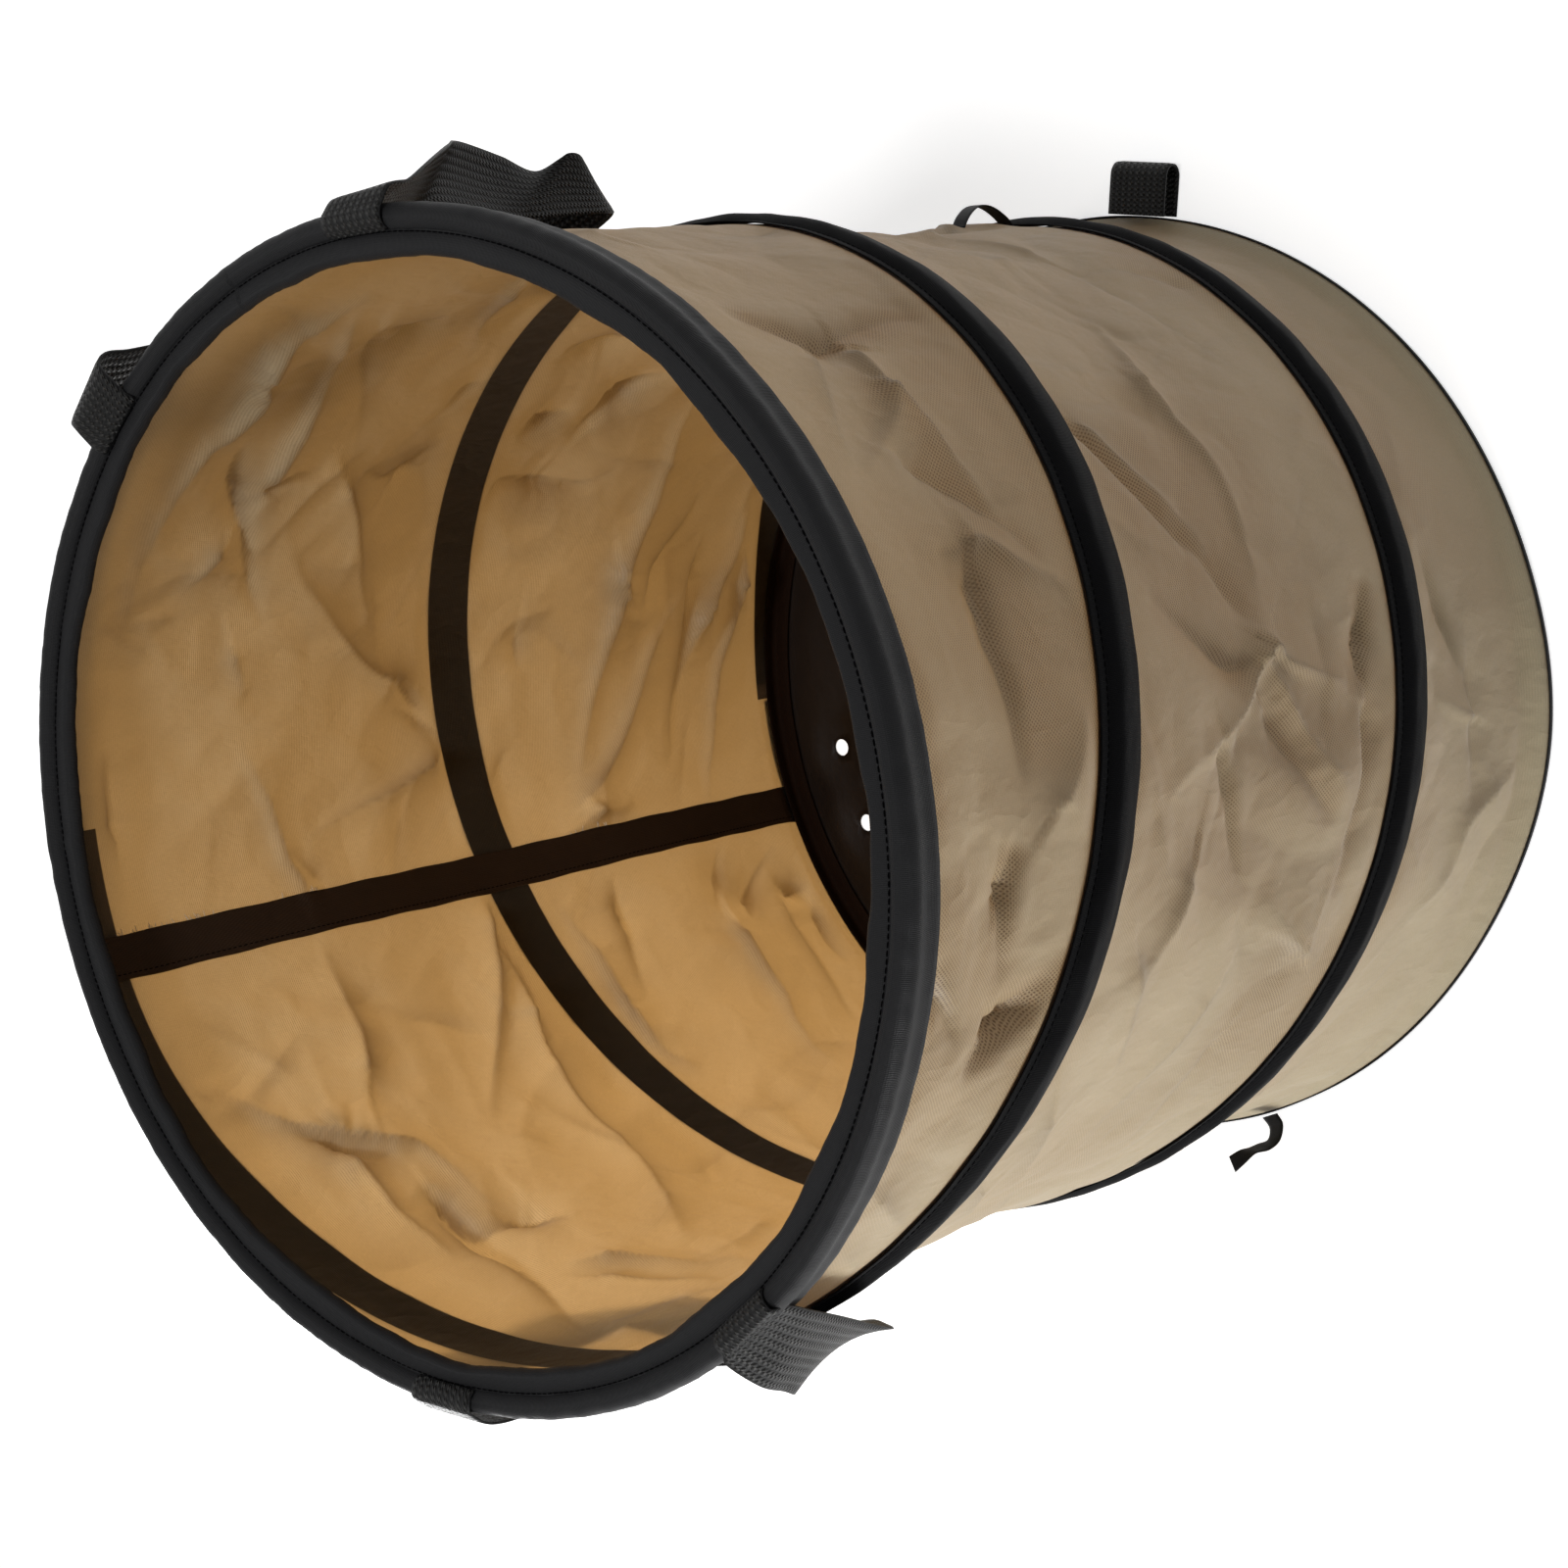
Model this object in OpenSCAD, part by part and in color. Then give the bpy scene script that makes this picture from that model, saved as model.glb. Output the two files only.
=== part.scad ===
// Pop-up garden bag. A cloth tube is held open by one coiled spring wire between two wire hoops,
// and it presses flat into a short stack. Two webbing handles are sewn to the mouth.
// Millimetres. +Z points up, out of the mouth. The bag stands on z = 0, centred on the Z axis,
// and handle A is on the +X side.

/* [Bag] */
// Outer diameter over the binding of the mouth
bag_diameter = 560; // [480:5:640]
// Height from the floor to the top of the mouth
bag_height = 595; // [520:5:700]
// How far the cloth wall lies inside the outer diameter
wall_inset = 9; // [8.8:0.1:12]
// Thickness of the wall cloth
wall_thickness = 1; // [0.6:0.1:1.2]
// Deepest draw-in of the cloth between two turns of the spring
wall_draw_in = 8; // [0:0.5:12]
// Direction of the side seam, in degrees from +X
seam_angle = 87; // [60:1:120]
// Width of the tape inside the side seam
seam_tape_width = 30; // [16:1:38]

/* [Spring] */
// Diameter of the spring wire
wire_diameter = 3.2; // [2:0.1:3.2]
// Direction in which the coil leaves the base hoop, in degrees from +X
coil_start_angle = 72; // [0:10:350]
// Angle that the coil winds through on its way up
coil_sweep = 710; // [660:10:760]
// How far the first half turn rides above an even climb
coil_lift = 14; // [0:1:25]
// How far the second turn hangs below an even climb
coil_sag = 34; // [0:1:45]
// Length of the crimped sleeve that joins the coil to a hoop
sleeve_length = 26; // [14:1:36]
// Wall of the crimped sleeve
sleeve_wall = 0.8; // [0.6:0.1:0.8]

/* [Coil casing] */
// Width of the casing tape, along the height of the bag
casing_width = 32; // [26:1:40]
// Flat edge of the casing above its bulge, where its seam runs
casing_flange = 6.5; // [4:0.5:9]
// How far the casing stands off the wall
casing_rise = 4.8; // [4.6:0.1:5.2]

/* [Bindings] */
// Thickness of the binding tape
tape_thickness = 0.8; // [0.6:0.1:0.9]
// Width of the lip that the mouth binding turns inwards
rim_lip_width = 11.5; // [6:0.5:18]
// Height of the mouth binding on the outside
rim_binding_height = 24; // [20:1:32]
// Height of the base binding on the outside
base_binding_height = 10.5; // [10:0.5:14]
// Width of the base binding under the bag
base_flange_width = 12; // [9:1:20]

/* [Base] */
// Thickness of the base cloth
base_thickness = 1.2; // [0.8:0.1:1.5]
// Diameter of a drain hole
drain_diameter = 11; // [5:1:14]
// Number of pairs of drain holes
drain_pairs = 1; // [1:1:8]
// Angle between the two holes of a pair
drain_pair_angle = 13.5; // [8:0.5:20]
// Distance from the middle of a drain hole to the wall
drain_inset = 48; // [30:1:70]

/* [Handles] */
// Width of the handle webbing
webbing_width = 38; // [25:1:50]
// Thickness of the handle webbing
webbing_thickness = 1.8; // [1.2:0.1:2.4]
// Half the angle between the two sewn ends of a handle
handle_spread = 21.5; // [16:0.5:28]
// Direction of handle A, in degrees from +X
handle_a_angle = 2; // [-8:0.5:8]
// Drop of handle A below its sewn ends
handle_a_drop = 185; // [120:5:220]
// Direction of handle B, in degrees from +X
handle_b_angle = 177.5; // [172:0.5:188]
// Drop of handle B below its sewn ends
handle_b_drop = 170; // [120:5:220]

/* [Small trim] */
// Direction of the grab loop at the base, in degrees from +X
grab_angle = 331; // [322:1:332]
// Reach of the grab loop
grab_reach = 30; // [24:1:40]
// Height of the grab loop
grab_height = 14; // [11:1:22]
// Direction of the tie ribbon at the base, in degrees from +X
ribbon_angle = 177; // [150:1:200]
// Width of the tie ribbon
ribbon_width = 12; // [8:1:16]
// Length of the tie ribbon
ribbon_length = 62; // [40:2:80]
// Direction of the tie loop on the coil casing, in degrees from +X
tie_loop_angle = 337; // [325:1:345]
// Width of the tape of the tie loop
tie_loop_width = 9; // [6:1:12]
// Height of the tie loop
tie_loop_height = 50; // [36:2:54]
// How far the tie loop stands off the wall
tie_loop_rise = 12; // [10:1:16]

/* [Hidden] */
$fn = 180;

// Running and sewing clearances
gap = 0.3;
crimp_gap = 0.1;
coil_gap = 0.5;
hinge_gap = 0.8;
hoop_slack = 2;

// The wall and the coil share one division of the circle, so that their facets lie together
facets = 36;
facet = 360 / facets;
facet_phase = seam_angle + facet / 2;
wall_rows = 16;

// Height between two turns at which the cloth is drawn in to the full
full_span = 280;

// Radii, from the wall outwards
rim_radius = bag_diameter / 2;
wall_radius = rim_radius - wall_inset;
wall_outer = wall_radius + wall_thickness / 2;
coil_radius = wall_outer + coil_gap + wire_diameter / 2;
sleeve_half = wire_diameter / 2 + crimp_gap + sleeve_wall;
hoop_radius = wall_outer + gap + sleeve_half;
skirt_radius = hoop_radius + sleeve_half + gap + tape_thickness / 2;

// Heights: in each sleeve a hoop and an end of the coil lie one over the other
wire_step = wire_diameter + 2 * crimp_gap;
base_hoop_z = tape_thickness + gap + sleeve_half;
coil_bottom_z = base_hoop_z + wire_step;
rim_hoop_z = bag_height - tape_thickness - 2 * gap - sleeve_half - hoop_slack;
coil_top_z = rim_hoop_z - wire_step;
wall_bottom = tape_thickness + gap;

// Mouth binding: lip, groove and tube
groove_radius = wall_radius - 3;
groove_z = bag_height - 5;
lip_radius = groove_radius - rim_lip_width;
lip_curl = [3.5, 4.2];
lip_curl_from = 190;
tube_centre = [rim_radius - 6.2, bag_height - 7.4];
tube_size = [rim_radius - tape_thickness / 2, bag_height - tape_thickness / 2] - tube_centre;
skirt_bottom = bag_height - rim_binding_height;
skirt_pinch = 17;

// The cloth ends under the groove, and leans in to it over the height of its hem
wall_top = groove_z - tape_thickness / 2 - gap;
hem_height = rim_binding_height + 12;

// Handles turn about a line just outside the mouth binding and level with its sewn ends
strap_offset = tape_thickness / 2 + gap + webbing_thickness / 2;
handle_y = (rim_radius - 8) * sin(handle_spread);
handle_inner_y = handle_y - webbing_width / 2;
handle_side_gap = 1.6;
hinge_x = sqrt(pow(rim_radius, 2) - pow(handle_inner_y, 2)) + webbing_thickness / 2 + handle_side_gap;
hinge_z = tube_centre.y + tube_size.y + strap_offset;
handle_lean = skirt_radius + tape_thickness / 2 + handle_side_gap / 2 + webbing_width / 2 - hinge_x;
handle_root = 0.06;
handle_twist = 0.42;
handle_steps = 40;

// ---- Shared curves and skins ----

// Rises from 0 to 1 and back between two places along a line, and is 0 elsewhere
function hump(x, from, to) = x > from && x < to ? pow(sin(180 * (x - from) / (to - from)), 2) : 0;

// Eases from 0 to 1
function ease(x) = let(k = min(max(x, 0), 1)) k * k * (3 - 2 * k);

// Points along an ellipse in a section
function arc(centre, size, from, to, steps) =
    [for (i = [0:steps]) let(a = from + (to - from) * i / steps)
        [centre.x + size.x * cos(a), centre.y + size.y * sin(a)]];

// Unit vector square to a line of points at one of them
function square_to(path, i) =
    let(d = path[min(i + 1, len(path) - 1)] - path[max(i - 1, 0)]) [d.y, -d.x] / norm(d);

// One side of a tape that follows a line of points
function tape_side(path, offset) = [for (i = [0:len(path) - 1]) path[i] + offset * square_to(path, i)];

// Closed outline of a bent tape
function tape_outline(path, thickness) = concat(
    tape_side(path, thickness / 2),
    [for (p = tape_side([for (i = [len(path) - 1:-1:0]) path[i]], thickness / 2)) p]);

function at(radius, angle, z) = [radius * cos(angle), radius * sin(angle), z];

// Triangles of a grid of rows and columns whose points start at an index
function grid_faces(rows, columns, start, flip, closed) =
    [for (i = [0:rows - (closed ? 1 : 2)], j = [0:columns - 2])
        let(a = start + i * columns + j, b = start + ((i + 1) % rows) * columns + j)
        each flip ? [[a, a + 1, b], [a + 1, b + 1, b]] : [[a, b, a + 1], [a + 1, b, b + 1]]];

// Triangles that join one line of points of the front grid to the same line of the back grid
function edge_faces(line, back, flip) =
    [for (k = [0:len(line) - 2]) let(a = line[k], b = line[k + 1])
        each flip ? [[a, b, a + back], [b, b + back, a + back]]
                  : [[a, a + back, b], [b, a + back, b + back]]];

// Solid between a front grid and a back grid of points; closed joins the last row to the first
module sheet_solid(front, back, closed = false) {
    rows = len(front);
    columns = len(front[0]);
    count = rows * columns;
    turns = [for (i = [0:rows - (closed ? 0 : 1)]) (i % rows) * columns];
    polyhedron(
        points = concat([for (row = front) each row], [for (row = back) each row]),
        faces = concat(
            grid_faces(rows, columns, 0, true, closed),
            grid_faces(rows, columns, count, false, closed),
            edge_faces([for (t = turns) t], count, true),
            edge_faces([for (t = turns) t + columns - 1], count, false),
            closed ? [] : edge_faces([for (j = [0:columns - 1]) j], count, false),
            closed ? [] : edge_faces([for (j = [0:columns - 1]) (rows - 1) * columns + j], count, true)),
        convexity = 8);
}

// A tape that follows points in space: its width lies along one vector at each of them
module ribbon_solid(points, widths, width, thickness) {
    last = len(points) - 1;
    along = [for (i = [0:last]) let(d = points[min(i + 1, last)] - points[max(i - 1, 0)]) d / norm(d)];
    across = [for (i = [0:last]) let(w = widths[i] - (widths[i] * along[i]) * along[i]) w / norm(w)];
    up = [for (i = [0:last]) cross(along[i], across[i])];
    function side(s) = [for (i = [0:last])
        [for (e = [-1, 1]) points[i] + e * width / 2 * across[i] + s * thickness / 2 * up[i]]];
    sheet_solid(side(1), side(-1));
}

// Round wire through rings of points
module wire_solid(rings) {
    sides = len(rings[0]);
    last = len(rings) - 1;
    polyhedron(
        points = [for (ring = rings) each ring],
        faces = concat(
            [for (i = [0:last - 1], k = [0:sides - 1])
                let(a = i * sides + k, b = i * sides + (k + 1) % sides)
                each [[a, a + sides, b], [b, a + sides, b + sides]]],
            [for (k = [1:sides - 2]) [0, k, k + 1]],
            [for (k = [1:sides - 2]) [last * sides, last * sides + k + 1, last * sides + k]]),
        convexity = 8);
}

// ---- The coil: a left-handed helix that climbs a little unevenly ----

coil_from = facet_phase + facet * round((coil_start_angle - facet_phase) / facet);
coil_steps = round(coil_sweep / facet);
coil_turned = coil_steps * facet;
sleeve_angle = 360 * sleeve_length / (2 * PI * hoop_radius);
tuck = sleeve_angle + 0.5;
run_in = 20;

// Angles over which the wire rides high, counted from the base, and hangs low, counted from the rim
lift_until = 200;
sag_from = 375;
sag_until = 55;

// Even climb between two level ends, which lie in the sleeves
function even_climb(t) =
    let(rise = (coil_top_z - coil_bottom_z) / (coil_turned - 2 * tuck - run_in),
        from_base = max(t - tuck, 0), from_rim = max(coil_turned - tuck - t, 0))
    from_base < run_in ? coil_bottom_z + rise * pow(from_base, 2) / (2 * run_in)
    : from_rim < run_in ? coil_top_z - rise * pow(from_rim, 2) / (2 * run_in)
    : coil_bottom_z + rise * (from_base - run_in / 2);

// Height of the wire after it has wound through an angle
function coil_z(t) = even_climb(t) + coil_lift * hump(t, 0, lift_until)
    - coil_sag * hump(t, coil_turned - sag_from, coil_turned - sag_until);

// Distance of the wire from the axis: at its two ends it lies in line with the hoops
function coil_r(t) = coil_radius
    + (hoop_radius - coil_radius) * (1 - ease((min(t, coil_turned - t) - tuck) / run_in));

function coil_point(t) = at(coil_r(t), coil_from - t, coil_z(t));

// Heights at which something holds the cloth out, from the base up, at one direction
function held_heights(angle) =
    let(first = (coil_from - angle) % 360, t0 = first < 0 ? first + 360 : first)
    concat([0], [for (t = [t0:360:coil_turned]) coil_z(t)], [bag_height]);

// Radius of the middle of the cloth: drawn in between those heights, more where they lie far apart
function cloth_radius(angle, z) =
    let(held = held_heights(angle),
        above = [for (i = [1:len(held) - 1]) if (z <= held[i] && z >= held[i - 1]) i][0],
        span = held[above] - held[above - 1],
        share = span > 0 ? (z - held[above - 1]) / span : 0,
        hem = max(0, 1 - (wall_top - z) / hem_height))
    wall_radius - wall_draw_in * min(span / full_span, 1) * pow(sin(180 * share), 2)
        - (wall_radius - groove_radius) * hem;

// Share of its radius at which the flat facets of the cloth lie in one direction
function facet_share(angle) =
    let(turned = (angle - facet_phase) % facet, past = turned < 0 ? turned + facet : turned)
    cos(facet / 2) / cos(past - facet / 2);

// ---- Base ----

module base_panel() {
    color("#17130f")
    difference() {
        cylinder(r = skirt_radius - base_flange_width - gap, h = base_thickness);
        for (i = [0:drain_pairs - 1], side = [-1, 1])
            rotate([0, 0, seam_angle + 0.75 + i * 360 / drain_pairs + side * drain_pair_angle / 2])
                translate([wall_radius - drain_inset, 0, -1])
                    cylinder(d = drain_diameter, h = base_thickness + 2, $fn = 40);
    }
}

// Tape that goes round the base hoop, open at the top where the coil comes down into it
base_binding_path = concat(
    [[skirt_radius - base_flange_width, tape_thickness / 2]],
    arc([skirt_radius - 2, tape_thickness / 2 + 2], [2, 2], -90, 0, 5),
    [[skirt_radius, base_binding_height]]);

module base_binding() {
    color("#1c1c1f")
    rotate_extrude()
        polygon(tape_outline(base_binding_path, tape_thickness));
}

module hoop(z) {
    translate([0, 0, z])
        rotate_extrude()
            translate([hoop_radius, 0])
                circle(d = wire_diameter, $fn = 24);
}

module base_hoop() {
    color("#9a9da1") hoop(base_hoop_z);
}

// Upright oval over two wires
module oval(radius) {
    circle(r = radius, $fn = 32);
    translate([0, wire_step]) circle(r = radius, $fn = 32);
    translate([-radius, 0]) square([2 * radius, wire_step]);
}

// Crimped sleeve over a hoop and the end of the coil that lies over or under it
module sleeve(angle, low_z) {
    rotate([0, 0, angle - sleeve_angle / 2])
        rotate_extrude(angle = sleeve_angle)
            translate([hoop_radius, low_z])
                difference() {
                    oval(sleeve_half);
                    oval(wire_diameter / 2 + crimp_gap);
                }
}

module base_sleeve() {
    color("#6f7276") sleeve(coil_from - tuck / 2, base_hoop_z);
}

module grab_loop() {
    bend = grab_height / 2;
    foot = skirt_radius + tape_thickness / 2 + gap;
    low = gap + webbing_thickness / 2;
    path = concat(
        [[foot, low]],
        arc([foot + grab_reach - bend, low + bend], [bend, bend], -90, 90, 10),
        [[foot, low + grab_height]]);
    color("#222224")
    rotate([0, 0, grab_angle])
        rotate([90, 0, 0])
            linear_extrude(webbing_width, center = true)
                polygon(tape_outline(path, webbing_thickness));
}

// Ribbon that ties the flat bag: out from the base seam, then curling up to a free end
module tie_ribbon() {
    steps = 18;
    foot = skirt_radius + tape_thickness / 2 + gap;
    reach = ribbon_length * 0.42;
    points = [for (i = [0:steps]) let(s = i / steps)
        [foot + reach * sin(120 * s), 6 * pow(sin(180 * s), 3), 4 + ribbon_length * 0.6 * s * s]];
    widths = [for (i = [0:steps]) let(s = i / steps) [0.5 * sin(180 * s), 1, 0.3 * sin(180 * s)]];
    color("#1f1f22")
    rotate([0, 0, ribbon_angle])
        ribbon_solid(points, widths, ribbon_width, tape_thickness);
}

// ---- Wall ----

wall_angles = [for (i = [0:facets - 1]) facet_phase + i * facet];
wall_heights = [for (j = [0:wall_rows]) wall_bottom + (wall_top - wall_bottom) * j / wall_rows];

function cloth_grid(offset) = [for (a = wall_angles)
    [for (z = wall_heights) at(cloth_radius(a, z) + offset, a, z)]];

module wall_cloth() {
    color("#9c8565")
    sheet_solid(cloth_grid(wall_thickness / 2), cloth_grid(-wall_thickness / 2), closed = true);
}

// The tape lies on the flat facet of the cloth that is centred on the seam
module seam_tape() {
    half = seam_tape_width / 2;
    function flat_row(side, offset) = [for (j = [0:wall_rows])
        let(z = wall_heights[j],
            flat = min(cloth_radius(seam_angle - facet / 2, z), cloth_radius(seam_angle + facet / 2, z))
                * cos(facet / 2))
        [flat - wall_thickness / 2 - gap - offset, side * half, z]];
    color("#1b1613")
    rotate([0, 0, seam_angle])
        sheet_solid([flat_row(-1, 0), flat_row(1, 0)],
            [flat_row(-1, tape_thickness), flat_row(1, tape_thickness)]);
}

// ---- Coil ----

wire_sides = 8;
sleeve_rings = 6;
casing_times = [for (i = [1:coil_steps - 1]) i * facet];
coil_times = concat(
    [for (i = [0:sleeve_rings - 1]) tuck * i / (sleeve_rings - 1)],
    casing_times,
    [for (i = [0:sleeve_rings - 1]) coil_turned - tuck + tuck * i / (sleeve_rings - 1)]);

// Ring of the wire, square to its run
function wire_ring(t) =
    let(d = coil_point(t + 0.5) - coil_point(t - 0.5), along = d / norm(d),
        outward = at(1, coil_from - t, 0), up = cross(along, outward))
    [for (k = [0:wire_sides - 1]) let(a = 360 * k / wire_sides)
        coil_point(t) + wire_diameter / 2 * (cos(a) * outward + sin(a) * up)];

module spring_coil() {
    color("#8e9195")
    wire_solid([for (t = coil_times) wire_ring(t)]);
}

// Section of the casing tape as [height over the wire, distance from the cloth]
casing_shift = 2;
bulge_top = casing_width / 2 - casing_shift - casing_flange;
bulge_bottom = -casing_width / 2 - casing_shift;
casing_floor = gap + tape_thickness / 2;
casing_bulge = casing_rise - casing_floor - tape_thickness / 2;
casing_section = concat(
    [[casing_width / 2 - casing_shift, casing_floor]],
    [for (k = [0:3]) [bulge_top * (1 - k / 3), casing_floor + casing_bulge * sin(30 * k)]],
    [for (k = [1:3]) [bulge_bottom * k / 3, casing_floor + casing_bulge * cos(30 * k)]]);

function casing_grid(thick_side) = let(side = tape_side(casing_section, thick_side * tape_thickness / 2))
    [for (t = casing_times) [for (p = side)
        at(wall_outer + coil_r(t) - coil_radius + p.y, coil_from - t, coil_z(t) + p.x)]];

// The casing meets both bindings edge to edge
module coil_casing() {
    color("#1d1d20")
    intersection() {
        sheet_solid(casing_grid(1), casing_grid(-1));
        translate([0, 0, base_binding_height + gap])
            cylinder(r = 2 * rim_radius, h = skirt_bottom - base_binding_height - 2 * gap);
    }
}

// Loop of narrow tape, sewn to the wall at its two ends just above the casing
module tie_loop() {
    steps = 14;
    t = (coil_from - tie_loop_angle + 360) % 360;
    foot_z = coil_z(t) + casing_width / 2 - casing_shift + 2;
    off_wall = wall_thickness / 2 + gap + tape_thickness / 2;
    points = [for (i = [0:steps]) let(s = i / steps, z = foot_z + tie_loop_height * s)
        [facet_share(tie_loop_angle) * cloth_radius(tie_loop_angle, z) + off_wall
            + tie_loop_rise * pow(sin(180 * s), 0.8), 3 * sin(180 * s), z]];
    color("#232326")
    rotate([0, 0, tie_loop_angle])
        ribbon_solid(points, [for (p = points) [0, 1, 0]], tie_loop_width, tape_thickness);
}

// ---- Mouth ----

rim_binding_path = concat(
    arc([lip_radius + lip_curl.x, groove_z + 1.7 - lip_curl.y], lip_curl, lip_curl_from, 90, 5),
    [[groove_radius - 2, groove_z + 0.8], [groove_radius, groove_z]],
    arc(tube_centre, tube_size, 155, -25, 14),
    [[skirt_radius, bag_height - skirt_pinch], [skirt_radius, skirt_bottom]]);

module rim_binding() {
    color("#222224")
    rotate_extrude()
        polygon(tape_outline(rim_binding_path, tape_thickness));
}

module rim_hoop() {
    color("#9a9da1") hoop(rim_hoop_z);
}

module rim_sleeve() {
    color("#6f7276") sleeve(coil_from - coil_turned + tuck / 2, coil_top_z);
}

// ---- Handles ----

// Sewn ends: webbing that comes out of the groove and over the tube, up to the line it swings about
module handle_ends(angle) {
    // The webbing is straight across its width, so it lies off the round tube by this much at its edges
    bow = rim_radius - sqrt(pow(rim_radius, 2) - pow(webbing_width / 2, 2));
    path = concat(
        arc(tube_centre, tube_size + [strap_offset + bow, strap_offset], 150, 90, 6),
        [[hinge_x + webbing_width, hinge_z]]);
    color("#2a2a2c")
    rotate([0, 0, angle])
        for (side = [-1, 1])
            intersection() {
                rotate([0, 0, side * handle_spread])
                    rotate([90, 0, 0])
                        linear_extrude(webbing_width, center = true)
                            polygon(tape_outline(path, webbing_thickness));
                translate([0, -rim_radius, 0])
                    cube([hinge_x - webbing_thickness / 2 - hinge_gap, 2 * rim_radius, 2 * bag_height]);
            }
}

// Free part: it hangs flat from each end, turns edge-on to the wall below it and goes round in a U
module handle(angle, drop) {
    function turned(a) = ease((sin(a) - handle_root) / handle_twist);
    stations = [for (i = [0:handle_steps]) 180 * i / handle_steps];
    points = [for (a = stations)
        [hinge_x + handle_lean * turned(a), -handle_y * cos(a), hinge_z - drop * sin(a)]];
    widths = [for (a = stations)
        [sin(90 * turned(a)), (a < 90 ? 1 : -1) * cos(90 * turned(a)), 0]];
    color("#262628")
    rotate([0, 0, angle]) {
        ribbon_solid(points, widths, webbing_width, webbing_thickness);
        for (side = [-1, 1])
            translate([hinge_x, side * handle_y, hinge_z])
                rotate([90, 0, 0])
                    cylinder(d = webbing_thickness, h = webbing_width, center = true, $fn = 24);
    }
}

module handle_a_ends() { handle_ends(handle_a_angle); }
module handle_a() { handle(handle_a_angle, handle_a_drop); }
module handle_b_ends() { handle_ends(handle_b_angle); }
module handle_b() { handle(handle_b_angle, handle_b_drop); }

// Least distance between one turn of the coil's wire and the next, wire surface to wire surface
self_gap = min([for (i = [0:coil_steps - facets]) for (k = [facets - 6:facets + 6])
    if (i + k <= coil_steps) norm(coil_point(i * facet) - coil_point((i + k) * facet))]) - wire_diameter;
echo(str("Least gap between turns of the spring coil, mm: ", self_gap));

base_panel();
base_binding();
base_hoop();
base_sleeve();
wall_cloth();
seam_tape();
spring_coil();
coil_casing();
grab_loop();
tie_ribbon();
tie_loop();
rim_hoop();
rim_sleeve();
rim_binding();
handle_a_ends();
handle_a();
handle_b_ends();
handle_b();
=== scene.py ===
"""Looks of a pop-up garden bag: a crumpled cloth tube on a coiled spring, with black bindings and webbing."""
import math

import bmesh
import bpy
import numpy as np
from mathutils import Matrix, Vector
from mathutils.geometry import delaunay_2d_cdt


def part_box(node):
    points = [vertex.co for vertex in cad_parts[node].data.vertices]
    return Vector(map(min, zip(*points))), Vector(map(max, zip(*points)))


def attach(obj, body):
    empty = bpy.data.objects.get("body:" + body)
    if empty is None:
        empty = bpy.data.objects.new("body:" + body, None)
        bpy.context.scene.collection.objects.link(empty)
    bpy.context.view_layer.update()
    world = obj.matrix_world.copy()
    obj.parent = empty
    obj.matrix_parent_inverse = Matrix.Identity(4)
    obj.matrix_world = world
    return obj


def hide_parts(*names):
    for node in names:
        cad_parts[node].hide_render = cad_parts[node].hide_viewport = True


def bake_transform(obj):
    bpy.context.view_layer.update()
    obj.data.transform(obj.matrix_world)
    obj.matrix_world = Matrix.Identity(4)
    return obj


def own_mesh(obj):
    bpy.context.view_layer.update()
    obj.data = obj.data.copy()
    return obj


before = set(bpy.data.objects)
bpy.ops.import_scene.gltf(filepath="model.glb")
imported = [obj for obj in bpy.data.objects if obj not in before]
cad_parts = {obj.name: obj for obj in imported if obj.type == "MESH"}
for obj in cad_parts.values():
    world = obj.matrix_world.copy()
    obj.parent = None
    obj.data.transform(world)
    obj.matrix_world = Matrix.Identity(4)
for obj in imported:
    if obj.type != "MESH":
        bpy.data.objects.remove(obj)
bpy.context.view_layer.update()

# ---- Sizes in metres and degrees: from the CAD's boxes, and otherwise the CAD's own values ----
MM = 0.001
RIM_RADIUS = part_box("rim_binding")[1].x
BAG_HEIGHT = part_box("rim_binding")[1].z
SKIRT_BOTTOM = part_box("rim_binding")[0].z
BASE_TRIM_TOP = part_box("base_binding")[1].z
WALL_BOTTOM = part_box("wall_cloth")[0].z
WALL_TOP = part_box("wall_cloth")[1].z
WALL_INSET = 9 * MM
WALL_RADIUS = RIM_RADIUS - WALL_INSET
WALL_OUTER = WALL_RADIUS + 0.5 * MM
HOOP_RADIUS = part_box("rim_hoop")[1].x - 1.6 * MM
SKIRT_RADIUS = HOOP_RADIUS + 3.2 * MM
GROOVE_RADIUS = WALL_RADIUS - 3 * MM
GROOVE_Z = BAG_HEIGHT - 5 * MM
TAPE_THICKNESS = 0.8 * MM
HEM_HEIGHT = 36 * MM
COIL_RADIUS = HOOP_RADIUS - 0.7 * MM
WIRE_DIAMETER = 3.2 * MM
COIL_BOTTOM = 7 * MM
COIL_TOP = BAG_HEIGHT - 9.3 * MM
COIL_FROM = 72
COIL_TURNED = 710
COIL_TUCK = 5.93
COIL_RUN_IN = 20
COIL_LIFT = 14 * MM
COIL_SAG = 34 * MM
SEAM_ANGLE = 87
CASING_WIDTH = 32 * MM
CASING_SHIFT = 2 * MM
CASING_FLANGE = 6.5 * MM
CASING_TOP = CASING_WIDTH / 2 - CASING_SHIFT
CASING_SEAM = CASING_TOP - CASING_FLANGE
CASING_FOOT = -CASING_WIDTH / 2 - CASING_SHIFT
STITCH_PITCH = 3.6 * MM
WEBBING_WIDTH = 38 * MM
WEBBING_THICKNESS = 1.8 * MM
STITCH_SHARE = 0.8


# ---- Numbers and curves ----

def ease(x):
    k = np.clip(x, 0, 1)
    return k * k * (3 - 2 * k)


def turn_from(degrees, middle):
    """Signed angle from a direction, between -180 and 180 degrees."""
    return (degrees - middle + 180) % 360 - 180


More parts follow.
